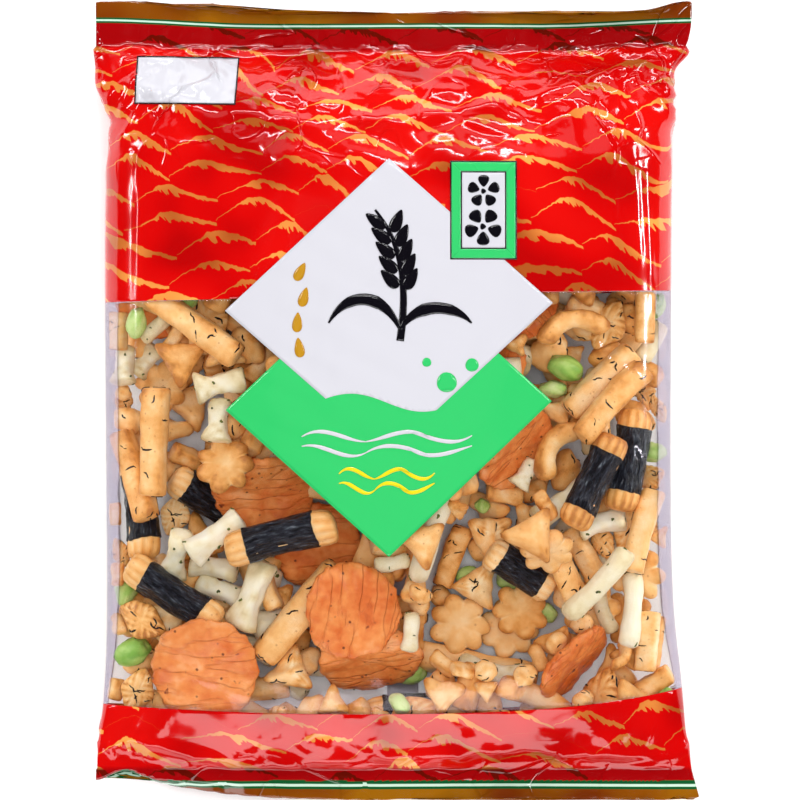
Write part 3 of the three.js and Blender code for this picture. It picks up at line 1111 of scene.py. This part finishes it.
def ridge_rows(tree, x, y, shift):
    """Gold mountain ridges in rows: a thin line climbs to each peak, and a toothed shoulder falls from it.
    x and y are in mm; the result is 1 on the gold."""
    height = add(tree, "Math", {0: y, 1: shift}, operation="ADD")
    height = add(tree, "Math", {0: height, 1: ROW}, operation="DIVIDE")
    number = add(tree, "Math", {0: height}, operation="FLOOR")
    height = add(tree, "Math", {0: height, 1: number}, operation="SUBTRACT")
    height = add(tree, "Math", {0: height, 1: ROW}, operation="MULTIPLY")
    along = add(tree, "Math", {0: x, 1: shift * 1.7}, operation="ADD")
    along = add(tree, "Math", {0: along, 1: STEP}, operation="DIVIDE")
    along = add(tree, "Math", {0: number, 1: 0.417, 2: along}, operation="MULTIPLY_ADD")
    which = add(tree, "Math", {0: along}, operation="FLOOR")
    share = add(tree, "Math", {0: along, 1: which}, operation="SUBTRACT")
    pair = add(tree, "CombineXYZ", {"X": which, "Y": number, "Z": shift})
    chance = add(tree, "TexWhiteNoise", {"Vector": pair}).outputs["Value"]

    fall = add(tree, "Math", {0: share, 1: -2.3, 2: 2.15}, operation="MULTIPLY_ADD")
    climb = add(tree, "Math", {0: share, 1: 2.5}, operation="MULTIPLY")
    peak = add(tree, "Math", {0: climb, 1: fall}, operation="MINIMUM")
    peak = add(tree, "Math", {0: peak, 1: 0.95}, operation="MINIMUM")
    place = add(tree, "CombineXYZ", {"X": x, "Y": y})
    rough = add(tree, "TexNoise", {"Vector": place, "Scale": 0.3, "Detail": 2.0})
    tall = add(tree, "Math", {0: chance, 1: 2.6, 2: 5.2}, operation="MULTIPLY_ADD")
    uneven = add(tree, "Math", {0: rough, 1: 2.4, 2: 5.2}, operation="MULTIPLY_ADD")
    crest = add(tree, "Math", {0: peak, 1: tall, 2: uneven}, operation="MULTIPLY_ADD")
    below = add(tree, "Math", {0: crest, 1: height}, operation="SUBTRACT")

    slanted_x = add(tree, "Math", {0: y, 1: 0.5, 2: x}, operation="MULTIPLY_ADD")
    slanted_y = add(tree, "Math", {0: y, 1: 0.12}, operation="MULTIPLY")
    slanted = add(tree, "CombineXYZ", {"X": slanted_x, "Y": slanted_y})
    teeth = add(tree, "TexNoise", {"Vector": slanted, "Scale": 0.5, "Detail": 1.0})
    teeth = add(tree, "Math", {0: teeth, 1: 5.5, 2: -2.2}, operation="MULTIPLY_ADD", use_clamp=True)
    teeth = add(tree, "Math", {0: teeth, 1: 2.9, 2: 1.3}, operation="MULTIPLY_ADD")
    shoulder = add(tree, "Math", {0: share, 1: 5.0, 2: -1.3}, operation="MULTIPLY_ADD", use_clamp=True)
    ending = add(tree, "Math", {0: fall, 1: 0.7, 2: 0.1}, operation="MULTIPLY_ADD", use_clamp=True)
    shoulder = add(tree, "Math", {0: shoulder, 1: ending}, operation="MULTIPLY")
    thin = add(tree, "Math", {0: share, 1: 1.0, 2: 0.25}, operation="MULTIPLY_ADD", use_clamp=True)
    thick = add(tree, "Math", {0: shoulder, 1: teeth, 2: thin}, operation="MULTIPLY_ADD")
    kept = add(tree, "Math", {0: chance, 1: 30.0, 2: -3.0}, operation="MULTIPLY_ADD", use_clamp=True)
    thick = add(tree, "Math", {0: thick, 1: kept}, operation="MULTIPLY")

    above = add(tree, "Math", {0: thick, 1: below}, operation="SUBTRACT")
    inside = add(tree, "Math", {0: below, 1: above}, operation="MINIMUM")
    return add(tree, "Math", {0: inside, 1: 5.0, 2: 0.3}, operation="MULTIPLY_ADD", use_clamp=True)


def ridges(tree, place):
    """Two sets of ridge rows, one between the other, a little swayed."""
    sway = add(tree, "TexNoise", {"Vector": place, "Scale": 1 / (80 * MM), "Detail": 1.0}).outputs["Color"]
    sway = add(tree, "SeparateXYZ", {"Vector": sway}).outputs
    parts = add(tree, "SeparateXYZ", {"Vector": place}).outputs
    x = add(tree, "Math", {0: parts["X"], 1: 1000.0}, operation="MULTIPLY")
    x = add(tree, "Math", {0: sway["X"], 1: 40.0, 2: x}, operation="MULTIPLY_ADD")
    y = add(tree, "Math", {0: parts["Y"], 1: 1000.0}, operation="MULTIPLY")
    y = add(tree, "Math", {0: sway["Y"], 1: 30.0, 2: y}, operation="MULTIPLY_ADD")
    first = ridge_rows(tree, x, y, 0.0)
    second = ridge_rows(tree, x, y, ROW / 2)
    return add(tree, "Math", {0: first, 1: second}, operation="MAXIMUM")


def printed_film(end, side, weld_from, lines_from, line):
    """Reverse-printed film: glossy red with gold ridges, painted darker over the welded band, partly the seal's duller
    look and partly painted shade; then a green, a white and a green line, and gold up to the cut edge. Distances are
    measured from the bag's middle, in mm."""
    finish, tree = new_finish(f"gravure_printed_{end}_film")
    place = add(tree, "TexCoord").outputs["Object"]
    along = add(tree, "Attribute", attribute_name="along").outputs["Fac"]
    outward = add(tree, "Math", {0: along, 1: float(side)}, operation="MULTIPLY")
    tone = add(tree, "TexNoise", {"Vector": place, "Scale": 1 / (30 * MM), "Detail": 1.0})
    reds = [(0.3, "#A00203"), (0.46, "#B80303"), (0.65, "#C40906")]
    golds = [(0.36, "#96481A"), (0.5, "#C06E30"), (0.64, "#DC9244")]
    red = add(tree, "ValToRGB", {"Fac": tone}, stops=reds)
    gold = add(tree, "ValToRGB", {"Fac": tone}, stops=golds)
    # the welded band is painted darker: partly the seal's duller look, partly painted shade
    weld_dulling_and_shade = add(tree, "Math", {0: outward, 1: weld_from - 0.8}, operation="SUBTRACT")
    weld_dulling_and_shade = add(tree, "Math", {0: weld_dulling_and_shade, 1: 0.6}, operation="MULTIPLY", use_clamp=True)
    red = add(tree, "Mix", {FACTOR: weld_dulling_and_shade, FIRST: red, SECOND: linear("#8E0306")}, data_type="RGBA")
    gold = add(tree, "Mix", {FACTOR: weld_dulling_and_shade, FIRST: gold, SECOND: linear("#5A0A02")}, data_type="RGBA")
    colour = add(tree, "Mix", {FACTOR: ridges(tree, place), FIRST: red, SECOND: gold}, data_type="RGBA")

    across = add(tree, "TexNoise", {"Vector": place, "Scale": 1 / (45 * MM), "Detail": 1.0})
    strip = add(tree, "ValToRGB", {"Fac": across}, stops=[(0.4, "#6C2A04"), (0.62, "#8A5608")])
    green, white = linear("#0E4E26"), linear("#B4D0BC")
    for start, shade in ((0, green), (line, white), (2 * line, green), (3 * line, strip)):
        share = add(tree, "Math", {0: outward, 1: lines_from + start}, operation="SUBTRACT")
        share = add(tree, "Math", {0: share, 1: 8.0}, operation="MULTIPLY", use_clamp=True)
        colour = add(tree, "Mix", {FACTOR: share, FIRST: colour, SECOND: shade}, data_type="RGBA")
    shader = add(tree, "BsdfPrincipled", {
        "Base Color": colour, "Roughness": 0.1, "IOR": 1.5, "Normal": crinkle_bump(tree, place),
    })
    add(tree, "OutputMaterial", {"Surface": shader})
    return finish


# ---------------------------------------------------------------- film

SEAL = {"head": 134.5, "foot": -140.5}  # inner edges of the welds, mm
FILM = 0.12  # drawn thickness, mm
FIN_ROOM = 0.3  # the fin seal lies flat under the back
TURN_LINE = -145.8  # the foot seal's outer strip turns down about this line
NOTCH = {"rise": 4.4, "x": -103.5, "width": 7.5}

# Creases in the front of the film: start, end, half width, height, mm.
HAND_CREASES = [
    # the long fold below the head seal, from the right corner across to the left
    ((103, 129), (72, 121), 3.4, 2.0), ((72, 121), (46, 112), 3.0, 1.7), ((46, 112), (12, 106), 3.4, 1.5),
    ((12, 106), (-30, 104), 5.5, 1.7), ((-30, 104), (-72, 108), 5.0, 1.5), ((-72, 108), (-100, 118), 3.6, 1.6),
    ((98, 132), (84, 113), 2.4, 1.1), ((84, 113), (80, 84), 2.6, 0.7), ((84, 124), (66, 108), 2.2, 1.0),
    # a star of short creases under the label's corner
    ((-48, 131), (-50, 107), 1.8, 1.2), ((-36, 130), (-46, 105), 1.8, 1.1), ((-60, 122), (-44, 104), 1.6, 0.9),
    ((-48, 105), (-66, 98), 2.0, 1.0), ((-48, 105), (-38, 92), 1.8, 0.8), ((-30, 126), (-40, 110), 1.6, 0.9),
    # left corner
    ((-104, 130), (-96, 110), 2.0, 1.1), ((-98, 124), (-106, 108), 1.8, 1.0), ((-94, 118), (-84, 101), 1.6, 0.9),
    ((-88, 104), (-98, 92), 1.8, 1.0), ((-106, 120), (-92, 124), 1.4, 0.8),
    # tight lines down the sides
    ((-97.5, 100), (-98, 40), 2.2, 0.5), ((-98, 40), (-99, -30), 2.2, 0.35),
    ((79, 100), (84, 45), 2.0, 0.55), ((88, 104), (92, 50), 2.0, 0.5), ((94, 90), (97, 30), 2.0, 0.4),
    # the foot, where the fill ends
    ((-105, -128), (-60, -139), 3.4, 1.4), ((-60, -139), (-10, -136), 4.0, 1.2), ((-10, -136), (50, -133), 4.0, 1.4),
    ((50, -133), (104, -136), 3.4, 1.5), ((-86, -118), (-96, -134), 2.4, 0.9), ((-40, -122), (-62, -136), 2.6, 0.8),
    ((20, -122), (34, -134), 2.6, 0.8), ((70, -120), (84, -134), 2.6, 0.9), ((-2, -121), (-14, -135), 2.4, 0.7),
    # tents over corners of crackers in the window
    ((-86, 33), (-68, 21), 3.0, 2.3), ((-74, 31), (-64, 22), 2.2, 1.3), ((74, 22), (80, 13), 2.6, 1.8),
    ((62, 17), (68, 21), 2.2, 1.4), ((84, 13), (90, 8), 2.2, 1.3), ((-100, -84), (-94, -88), 2.0, 1.3),
    ((88, -18), (91, -26), 2.0, 1.2), ((60, 4), (64, -4), 1.8, 0.9), ((-96, -12), (-92, -24), 2.0, 0.9),
]
SHORT_CREASES = 46  # seeded ones, straight out of each seal


def seeded_creases(seed, y_from, y_sign):
    """Short creases that run out of a seal, each with its own slant."""
    rng = np.random.default_rng(seed)
    made = []
    for _ in range(SHORT_CREASES):
        x = rng.uniform(-108, 104)
        length = rng.uniform(7, 26) * (1.3 if y_sign < 0 else 0.8)
        slant = rng.normal(0, 0.45)
        start = (x, y_from + y_sign * rng.uniform(0, 6))
        end = (x + slant * length, start[1] + y_sign * length)
        made.append((start, end, rng.uniform(1.5, 2.8), rng.uniform(0.35, 1.1)))
    return made


def crease_lift(points, creases):
    """How far creases lift the film: each has a sharp crest that sinks to its ends and sides."""
    lift = np.zeros(len(points))
    flat = points[:, :2]
    for start, end, half_width, height in creases:
        run = np.array(end, float) - start
        share = np.clip((flat - start) @ run / (run @ run), 0, 1)
        away = np.hypot(*(flat - start - share[:, None] * run).T)
        near = np.clip(1 - away / half_width, 0, 1)
        lift += height * near ** 1.7 * np.sqrt(np.clip(1 - (2 * share - 1) ** 2, 0, 1) + 0.05)
    return lift


def film_base(node):
    """The CAD bag as an even mesh of quads, fine enough to crease."""
    bpy.ops.object.select_all(action="DESELECT")
    film = bpy.data.objects.new("film", node.data.copy())
    film.data.materials.clear()
    bpy.context.scene.collection.objects.link(film)
    bpy.context.view_layer.objects.active = film
    film.select_set(True)
    bpy.ops.object.mode_set(mode="EDIT")
    bpy.ops.mesh.select_all(action="SELECT")
    bpy.ops.mesh.remove_doubles(threshold=0.01 * MM)
    bpy.ops.mesh.tris_convert_to_quads(face_threshold=math.radians(60), shape_threshold=math.radians(60))
    bpy.ops.object.mode_set(mode="OBJECT")
    apply_modifier(film, "SUBSURF", levels=2, render_levels=2)
    return film


def apply_modifier(piece, kind, **settings):
    bpy.context.view_layer.objects.active = piece
    modifier = piece.modifiers.new(kind.lower(), kind)
    for name, value in settings.items():
        setattr(modifier, name, value)
    bpy.ops.object.modifier_apply(modifier=modifier.name)


def normals_of(piece):
    flat = np.zeros(len(piece.data.vertices) * 3)
    piece.data.vertices.foreach_get("normal", flat)
    return flat.reshape(-1, 3)


def edge_curl(points):
    """How far the head's cut edge curls up and back, in mm: hardly at the left, most right of the middle."""
    x, y, _ = points.T
    back = 1.5 + 1.2 * np.sin(x / 7.4 + 1.3) * (x < 20) + 2.5 * smooth_step(x, 26, 44) + 0.5 * np.sin(x / 5.2)
    back *= smooth_step(x, -96, -70) * smooth_step(-x, -110, -92)
    return back * smooth_step(y, 145.8, 152.0) ** 1.5


def foot_lift(x):
    return NOTCH["rise"] * np.exp(-(((x - NOTCH["x"]) / NOTCH["width"]) ** 2))


def looseness(points):
    """Where the film hangs loose and crinkles, from 0 over the tight middle to 1 beside the seals."""
    head = smooth_step(points[:, 1], 76, 112)
    foot = 0.8 * smooth_step(-points[:, 1], 122, 137)
    return np.clip(head + foot, 0, 1)


def crumpled(film):
    """Creases the film, and keeps on each point how far along the flat bag it lies and how loose it is."""
    points = points_of(film)
    normals = normals_of(film)
    front = normals[:, 2] > 0
    loose = looseness(points)
    in_seal = (points[:, 1] > SEAL["head"]) | (points[:, 1] < SEAL["foot"])

    creases = HAND_CREASES + seeded_creases(4, SEAL["head"] - 2, -1) + seeded_creases(5, SEAL["foot"] + 1, 1)
    behind = seeded_creases(6, SEAL["head"] - 2, -1) + seeded_creases(7, SEAL["foot"] + 1, 1)
    lift = np.where(front, crease_lift(points, creases), 0.7 * crease_lift(points, behind))
    warped = points + np.column_stack([lumps(points, 30, 61), lumps(points, 30, 62), np.zeros(len(points))]) * 4
    facets = 1 - np.abs(lumps(warped * (1, 1.2, 1), 34, 63))
    lift += loose * 1.5 * np.clip(facets, 0, 1) ** 1.5
    slack = 1 - 0.8 * smooth_step(np.abs(points[:, 0]), 78, 92) * (1 - loose)
    lift += slack * ((0.16 + 0.3 * loose) * lumps(points, 17, 64) + 0.06 * lumps(points, 7, 65)) + 0.1
    lift[in_seal] = 0.35 * lumps(points[in_seal] * (1, 0.3, 0), 11, 66)
    calm = smooth_step(points[:, 2], 0.2, 2.5)
    lift *= np.where(front, 1, calm)
    crumpled_points = points + normals * lift[:, None]
    curl = edge_curl(points)
    crumpled_points[:, 1] -= curl
    crumpled_points[:, 2] += 1.3 * curl
    crumpled_points[:, 2] = np.maximum(crumpled_points[:, 2], FIN_ROOM)
    move_points(film, crumpled_points)

    x, y, z = points.T
    strip = y < TURN_LINE + foot_lift(x) + 0.4
    at_line = np.interp(x, *line_heights(points, normals))
    beyond = np.hypot(TURN_LINE + foot_lift(x) - y, z - at_line)
    middle = 1 - smooth_step(np.abs(x) / 115.5, 0.45, 1)
    along = np.where(strip, TURN_LINE - beyond, y + 2.3 * middle * smooth_step(y, 70, 152))
    for key, values in (("along", along), ("loose", loose)):
        film.data.attributes.new(key, "FLOAT", "POINT").data.foreach_set("value", values)
    film.data.shade_smooth()


def line_heights(points, normals):
    """The front film's height along the line that the foot strip turns about, by x."""
    near = (np.abs(points[:, 1] - TURN_LINE - foot_lift(points[:, 0])) < 1.2) & (normals[:, 2] > 0)
    order = np.argsort(points[near, 0])
    return points[near, 0][order], points[near, 2][order]


def head_edge(x):
    """Where the head's print ends, across the bag."""
    return 36.8 + (x + 112) * 0.0212


def foot_edge(x):
    """Where the foot's print begins: nearly straight in the middle, and drawn up towards the right side."""
    off = x + 18
    return -119.3 + np.where(off < 0, 3.5 * (off / 94) ** 2, 9.9 * np.clip(off / 127, 0, None) ** 3)


def cut_away(piece, curve, keep_above):
    """Cuts a piece along the line y = curve(x), seen from the front, and drops one side."""
    points = points_of(piece)
    points[:, 1] -= curve(points[:, 0])
    move_points(piece, points)
    bpy.ops.object.select_all(action="DESELECT")
    bpy.context.view_layer.objects.active = piece
    piece.select_set(True)
    bpy.ops.object.mode_set(mode="EDIT")
    bpy.ops.mesh.select_all(action="SELECT")
    bpy.ops.mesh.bisect(
        plane_co=(0, 0, 0), plane_no=(0, 1, 0), threshold=0.001 * MM,
        clear_inner=keep_above, clear_outer=not keep_above,
    )
    bpy.ops.object.mode_set(mode="OBJECT")
    points = points_of(piece)
    points[:, 1] += curve(points[:, 0])
    move_points(piece, points)


def film_part(film, name, finish, cuts):
    """A copy of the film between some cuts: its own sheet, with a thickness."""
    part = bpy.data.objects.new(name, film.data.copy())
    bpy.context.scene.collection.objects.link(part)
    for curve, keep_above in cuts:
        cut_away(part, curve, keep_above)
    part.data.materials.append(finish)
    apply_modifier(part, "SOLIDIFY", thickness=FILM * MM, offset=-1)
    part.data.shade_smooth()
    return part


# ---------------------------------------------------------------- print laid on the front of the film


def four_sided(name, corners, cell=1.3):
    """A grid stretched between four corners in mm, anticlockwise from the lower left."""
    a, b, c, d = (np.array(corner, float) for corner in corners)
    across = max(2, round(np.linalg.norm(b - a) / cell))
    up = max(2, round(np.linalg.norm(d - a) / cell))
    bpy.ops.object.select_all(action="DESELECT")
    bpy.ops.mesh.primitive_grid_add(x_subdivisions=across, y_subdivisions=up, size=2)
    piece = bpy.context.object
    piece.name = name
    points = points_of(piece) * MM
    u, v = (points[:, 0, None] + 1) / 2, (points[:, 1, None] + 1) / 2
    flat = a * (1 - u) * (1 - v) + b * u * (1 - v) + c * u * v + d * (1 - u) * v
    move_points(piece, np.column_stack([flat, np.full(len(flat), 100.0)]))
    return piece


def blob(name, outline):
    """A filled shape from an outline of points in mm, cut into small triangles."""
    mesh = bpy.data.meshes.new(name)
    mesh.from_pydata([(x * MM, y * MM, 0.1) for x, y in outline], [], [list(range(len(outline)))])
    piece = bpy.data.objects.new(name, mesh)
    bpy.context.scene.collection.objects.link(piece)
    bpy.ops.object.select_all(action="DESELECT")
    bpy.context.view_layer.objects.active = piece
    piece.select_set(True)
    bpy.ops.object.mode_set(mode="EDIT")
    bpy.ops.mesh.select_all(action="SELECT")
    bpy.ops.mesh.quads_convert_to_tris()
    bpy.ops.mesh.subdivide(number_cuts=2)
    bpy.ops.object.mode_set(mode="OBJECT")
    return piece


def printed(piece, film, finish, layer, behind=False):
    """Lays a flat shape on the film's front, as ink of a small thickness; layer is how many inks lie under it."""
    apply_modifier(
        piece, "SHRINKWRAP", target=film, wrap_method="PROJECT", use_project_z=True, use_negative_direction=not behind,
        use_positive_direction=behind, offset=(0.13 + 0.1 * layer) * MM,
    )
    apply_modifier(piece, "SOLIDIFY", thickness=0.05 * MM, offset=1)
    points = points_of(piece)
    piece.data.attributes.new("loose", "FLOAT", "POINT").data.foreach_set("value", looseness(points))
    piece.data.materials.append(finish)
    piece.data.shade_smooth()
    return piece


def merged(name, pieces):
    bpy.ops.object.select_all(action="DESELECT")
    for piece in pieces:
        piece.select_set(True)
    bpy.context.view_layer.objects.active = pieces[0]
    bpy.ops.object.join()
    pieces[0].name = name
    return pieces[0]


def oval(centre, length, width, turn, points=20, point=0.45):
    """The outline of a grain: an oval with one end more or less pointed."""
    t = np.linspace(0, 2 * math.pi, points, endpoint=False)
    x = length / 2 * np.cos(t)
    y = width / 2 * np.sin(t) * (1 - point * np.cos(t))
    c, s = math.cos(math.radians(turn)), math.sin(math.radians(turn))
    return [(centre[0] + c * a - s * b, centre[1] + s * a + c * b) for a, b in zip(x, y)]


def stroke(path, widths):
    """The outline of a brush stroke along a smooth path, with its width at each point."""
    path = np.array(path, float)
    steps = np.linspace(0, len(path) - 1, 4 * len(path))
    knots = np.arange(len(path))
    fit = [np.polyfit(knots, path[:, i], min(3, len(path) - 1)) for i in (0, 1)]
    line = np.column_stack([np.polyval(f, steps) for f in fit])
    width = np.interp(steps, knots, widths)
    ahead = np.gradient(line, axis=0)
    ahead /= np.linalg.norm(ahead, axis=1)[:, None]
    side = np.column_stack([-ahead[:, 1], ahead[:, 0]]) * width[:, None] / 2
    return [tuple(p) for p in np.vstack([line + side, (line - side)[::-1]])]


DIAMOND = {"top": (-3.2, 90.7), "left": (-64.9, 33.4), "right": (58.5, 36.4), "foot": (-3.2, -20.5)}
GREEN = {"top": (-3.2, 54.5), "left": (-64.7, -4.0), "right": (58.1, -0.6), "foot": (-3.2, -59.2)}
FRAME = (19.8, 52.6, 44.9, 89.8)  # the framed panel: left, foot, right, top
BORDER = 3.4
OUTLINE = 0.55
LABEL = [(-99.8, 112.0), (-61.2, 111.3), (-60.2, 130.4), (-99.2, 130.8)]


def wave_line(x):
    """The top of the green wave that crosses the white panel; it dives under the panel's right edge."""
    return -1.2 + 3.4 * np.sin((x + 31) / 8.6) - 1.3 * np.clip(x - 21, 0, None)


def rice_ear(foot, scale, lean, grains):
    """Outlines of a rice ear: a bent stalk, two blades and paired grains."""
    x, y = foot
    tip = (x + lean * 14 * scale, y + 44 * scale)
    bend = (x - lean * 1.5 * scale, y + 20 * scale)
    outlines = [stroke([foot, bend, (x + lean * 4 * scale, y + 34 * scale), tip], [2.6 * scale, 2.2 * scale, 1.6 * scale, 0.8 * scale])]
    for side, reach in ((-1, 1.0), (1, 0.8)):
        outlines.append(stroke(
            [(x, y + 4 * scale), (x + side * 8 * scale, y + 13 * scale * reach), (x + side * 17 * scale, y + 13 * scale * reach),
             (x + side * 24 * scale, y + 6 * scale)], [1.2 * scale, 4.2 * scale, 3.6 * scale, 0.6 * scale]))
    for i in range(grains):
        share = 0.42 + 0.55 * i / grains
        at = (x + lean * 14 * scale * share ** 3 - lean * 1.2 * scale, y + 44 * scale * share)
        for side in (-1, 1):
            turn = 90 - side * 38 - lean * 30 * share
            outlines.append(oval((at[0] + side * 3.6 * scale, at[1] + 2.4 * scale), 8.2 * scale, 3.9 * scale, turn))
    return outlines


def plum_blossoms():
    """Outlines of two blossoms, one over the other, each of five petals round a gap."""
    outlines = []
    for centre, reach, first in (((32.4, 78.3), 3.9, 90), ((32.2, 65.0), 4.5, 126)):
        for petal in range(5):
            turn = first + 72 * petal
            at = (centre[0] + reach * math.cos(math.radians(turn)), centre[1] + reach * math.sin(math.radians(turn)))
            outlines.append(oval(at, reach * 1.15, reach * 1.0, turn + 180, 16))
        outlines.append(oval(centre, reach * 0.5, reach * 0.5, 0, 12))
    return outlines


def inset_corners(corners, inset):
    """Corners moved inwards, for a figure close to a rectangle."""
    middle = np.mean(corners, axis=0)
    return [tuple(np.array(corner) - inset * np.sign(np.array(corner) - middle)) for corner in corners]


def bordered(name, corners, borders, film, ink, layer):
    """A white panel with borders round it, side by side, so that no ink lies over another."""
    pieces = []
    for number, (width, colour) in enumerate(borders):
        inner = inset_corners(corners, width)
        strips = [
            four_sided("strip", [corners[i], corners[(i + 1) % 4], inner[(i + 1) % 4], inner[i]], 0.7)
            for i in range(4)
        ]
        pieces.append(printed(merged(f"{name}_border_{number}", strips), film, ink[colour], layer))
        corners = inner
    pieces.append(printed(four_sided(f"{name}_panel", corners, 0.7), film, ink["white"], layer))
    return pieces


def print_pieces(film):
    ink = {name: printing_ink(name, colour) for name, colour in INKS.items()}
    green = four_sided("green_panel", [GREEN["left"], GREEN["foot"], GREEN["right"], GREEN["top"]])
    white = four_sided("white_panel", [DIAMOND["left"], DIAMOND["foot"], DIAMOND["right"], DIAMOND["top"]])
    cut_away(white, wave_line, keep_above=True)
    pieces = [printed(green, film, ink["green"], 0), printed(white, film, ink["white"], 1)]

    left, foot, right, top = FRAME
    box = [(left, foot), (right, foot), (right, top), (left, top)]
    pieces += bordered("frame", box, [(OUTLINE, "black"), (BORDER, "green"), (OUTLINE, "black")], film, ink, 2)
    pieces += bordered("label", LABEL, [(OUTLINE, "black")], film, ink, 1)

    brush = [blob("stroke", outline) for outline in rice_ear((1.0, 22.0), 1.12, -0.6, 5)]
    brush += [blob("stroke", outline) for outline in plum_blossoms()]
    pieces.append(printed(merged("black_ornaments", brush), film, ink["black"], 3))
    grains = [blob("grain", oval((-36.5 + 1.5 * math.sin(i * 2), 48 - 9.5 * i), 7.5, 3.6, 62 + 12 * i)) for i in range(4)]
    pieces.append(printed(merged("gold_grains", grains), film, ink["gold"], 2))
    spray = (((18.5, 6.5), 7.5), ((28.0, 13.0), 5.0), ((11.0, 14.0), 3.4))
    drops = [blob("drop", oval(at, size, size, 100, 32, 0.08)) for at, size in spray]
    pieces.append(printed(merged("green_drops", drops), film, ink["green"], 2))
    for name, colour, level, reach in (("white_ripple", "white", -14, 32), ("yellow_ripple", "yellow", -28, 18)):
        ripples = []
        for row in range(2):
            path = [(-4 - reach + i * reach / 4, level - row * 5.2 + 1.9 * math.sin(i * 1.6 + row)) for i in range(9)]
            ripples += [blob("ripple", stroke(path[i:i + 4], [0.4, 1.5, 1.5, 0.4])) for i in (0, 3, 5)]
        pieces.append(printed(merged(name, ripples), film, ink[colour], 2))
    return pieces


def fin_seal(film):
    """The seam down the middle of the back: a strip of the same film, folded flat."""
    strip = four_sided("fin", [(-4, SEAL["foot"]), (8, SEAL["foot"]), (8, SEAL["head"]), (-4, SEAL["head"])], 2.0)
    points = points_of(strip)
    points[:, 2] = -100
    move_points(strip, points)
    apply_modifier(strip, "SHRINKWRAP", target=film, wrap_method="PROJECT", use_project_z=True,
                   use_positive_direction=True, use_negative_direction=False, offset=0.12 * MM)
    points = points_of(strip)
    for key, values in (("along", points[:, 1]), ("loose", looseness(points))):
        strip.data.attributes.new(key, "FLOAT", "POINT").data.foreach_set("value", values)
    return strip


def bag_pieces(film):
    """The finished bag: printed ends, clear window and the print on its front."""
    fin = fin_seal(film)
    parts = [
        ("printed_head", printed_film("head", 1, 134.5, 143.6, 0.7), [(head_edge, True)]),
        ("printed_foot", printed_film("foot", -1, 140.5, 145.6, 1.0), [(foot_edge, False)]),
        ("clear_window", clear_film(), [(head_edge, False), (foot_edge, True)]),
    ]
    pieces = []
    for name, finish, cuts in parts:
        whole = film_part(film, name, finish, cuts)
        if name == "clear_window":
            # the fin seal under the window is drawn opaque, in painted shadow
            pieces += [whole, film_part(fin, "clear_fin_seal", welded_clear_film(), cuts)]
        else:
            seam = film_part(fin, "seam", finish, cuts)
            pieces.append(merged(name, [whole, seam]))
    pieces += print_pieces(film)
    for spare in (film, fin):
        bpy.data.objects.remove(spare)
    return pieces


# ---------------------------------------------------------------- the whole pack, in its studio

film = film_base(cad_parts["bag"])
crumpled(film)
laid = fill_bag(film)
crackers = cracker_pieces(laid)
bag_parts = bag_pieces(film)
for piece in crackers + bag_parts:
    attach(piece, "root")
for piece in bag_parts:
    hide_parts("bag")
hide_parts("bag")

bpy.ops.object.select_all(action="DESELECT")
bpy.ops.mesh.primitive_plane_add(size=4)
floor = bpy.context.object
floor.name = "floor"
finish, tree = new_finish("white_table")
paint = add(tree, "BsdfPrincipled", {"Base Color": linear("#FFFFFF"), "Roughness": 0.9})
add(tree, "OutputMaterial", {"Surface": paint})
floor.data.materials.append(finish)


def panel_light(name, place, size, power):
    """A studio panel, size metres along the bag's nearest edge and upwards, turned to the bag."""
    light = bpy.data.lights.new(name, "AREA")
    light.shape = "RECTANGLE"
    light.size, light.size_y = size
    light.energy = power
    lamp = bpy.data.objects.new(name, light)
    lamp.location = place
    lamp.rotation_euler = (-Vector(place)).to_track_quat("-Z", "Y").to_euler()
    bpy.context.scene.collection.objects.link(lamp)


panel_light("left_strip", (-1.6, 0.17, 0.75), (0.26, 0.03), 1.5)
panel_light("right_strip", (1.6, 0.17, 0.75), (0.26, 0.08), 5)
panel_light("head_strip", (0.0, 1.7, 0.8), (1.4, 0.12), 13)
panel_light("high_strip", (0.15, 1.25, 1.7), (0.5, 0.05), 5)
panel_light("left_corner_panel", (-1.4, 0.8, 0.9), (0.5, 0.2), 8)
panel_light("right_corner_panel", (1.4, 0.8, 0.9), (0.5, 0.2), 8)
panel_light("head_panel", (0.0, 1.5, 1.3), (1.8, 0.4), 2)
panel_light("foot_panel", (0.0, -1.6, 0.6), (2.0, 0.6), 15)
panel_light("top_panel", (0.0, 0.0, 2.2), (0.9, 0.9), 17)
bpy.data.objects["top_panel"].visible_glossy = False
world = bpy.data.worlds.new("studio")
bpy.context.scene.world = world
world.use_nodes = True
world.node_tree.nodes["Background"].inputs[0].default_value = (1, 1, 1, 1)
world.node_tree.nodes["Background"].inputs[1].default_value = 0.68
world.cycles_visibility.glossy = False  # the room is dark where the film would mirror it

PIXEL = 0.3817 * MM  # at the front of the bag, in an 800 pixel wide picture
DISTANCE = 2.4
camera_data = bpy.data.cameras.new("camera")
camera_data.sensor_width = 36
camera_data.lens = 36 * (DISTANCE - 0.017) / (800 * PIXEL)
camera = bpy.data.objects.new("camera", camera_data)
camera.location = (2.5 * PIXEL, -0.5 * PIXEL, DISTANCE)
bpy.context.scene.collection.objects.link(camera)
bpy.context.scene.camera = camera
bpy.context.scene.view_settings.view_transform = "Standard"
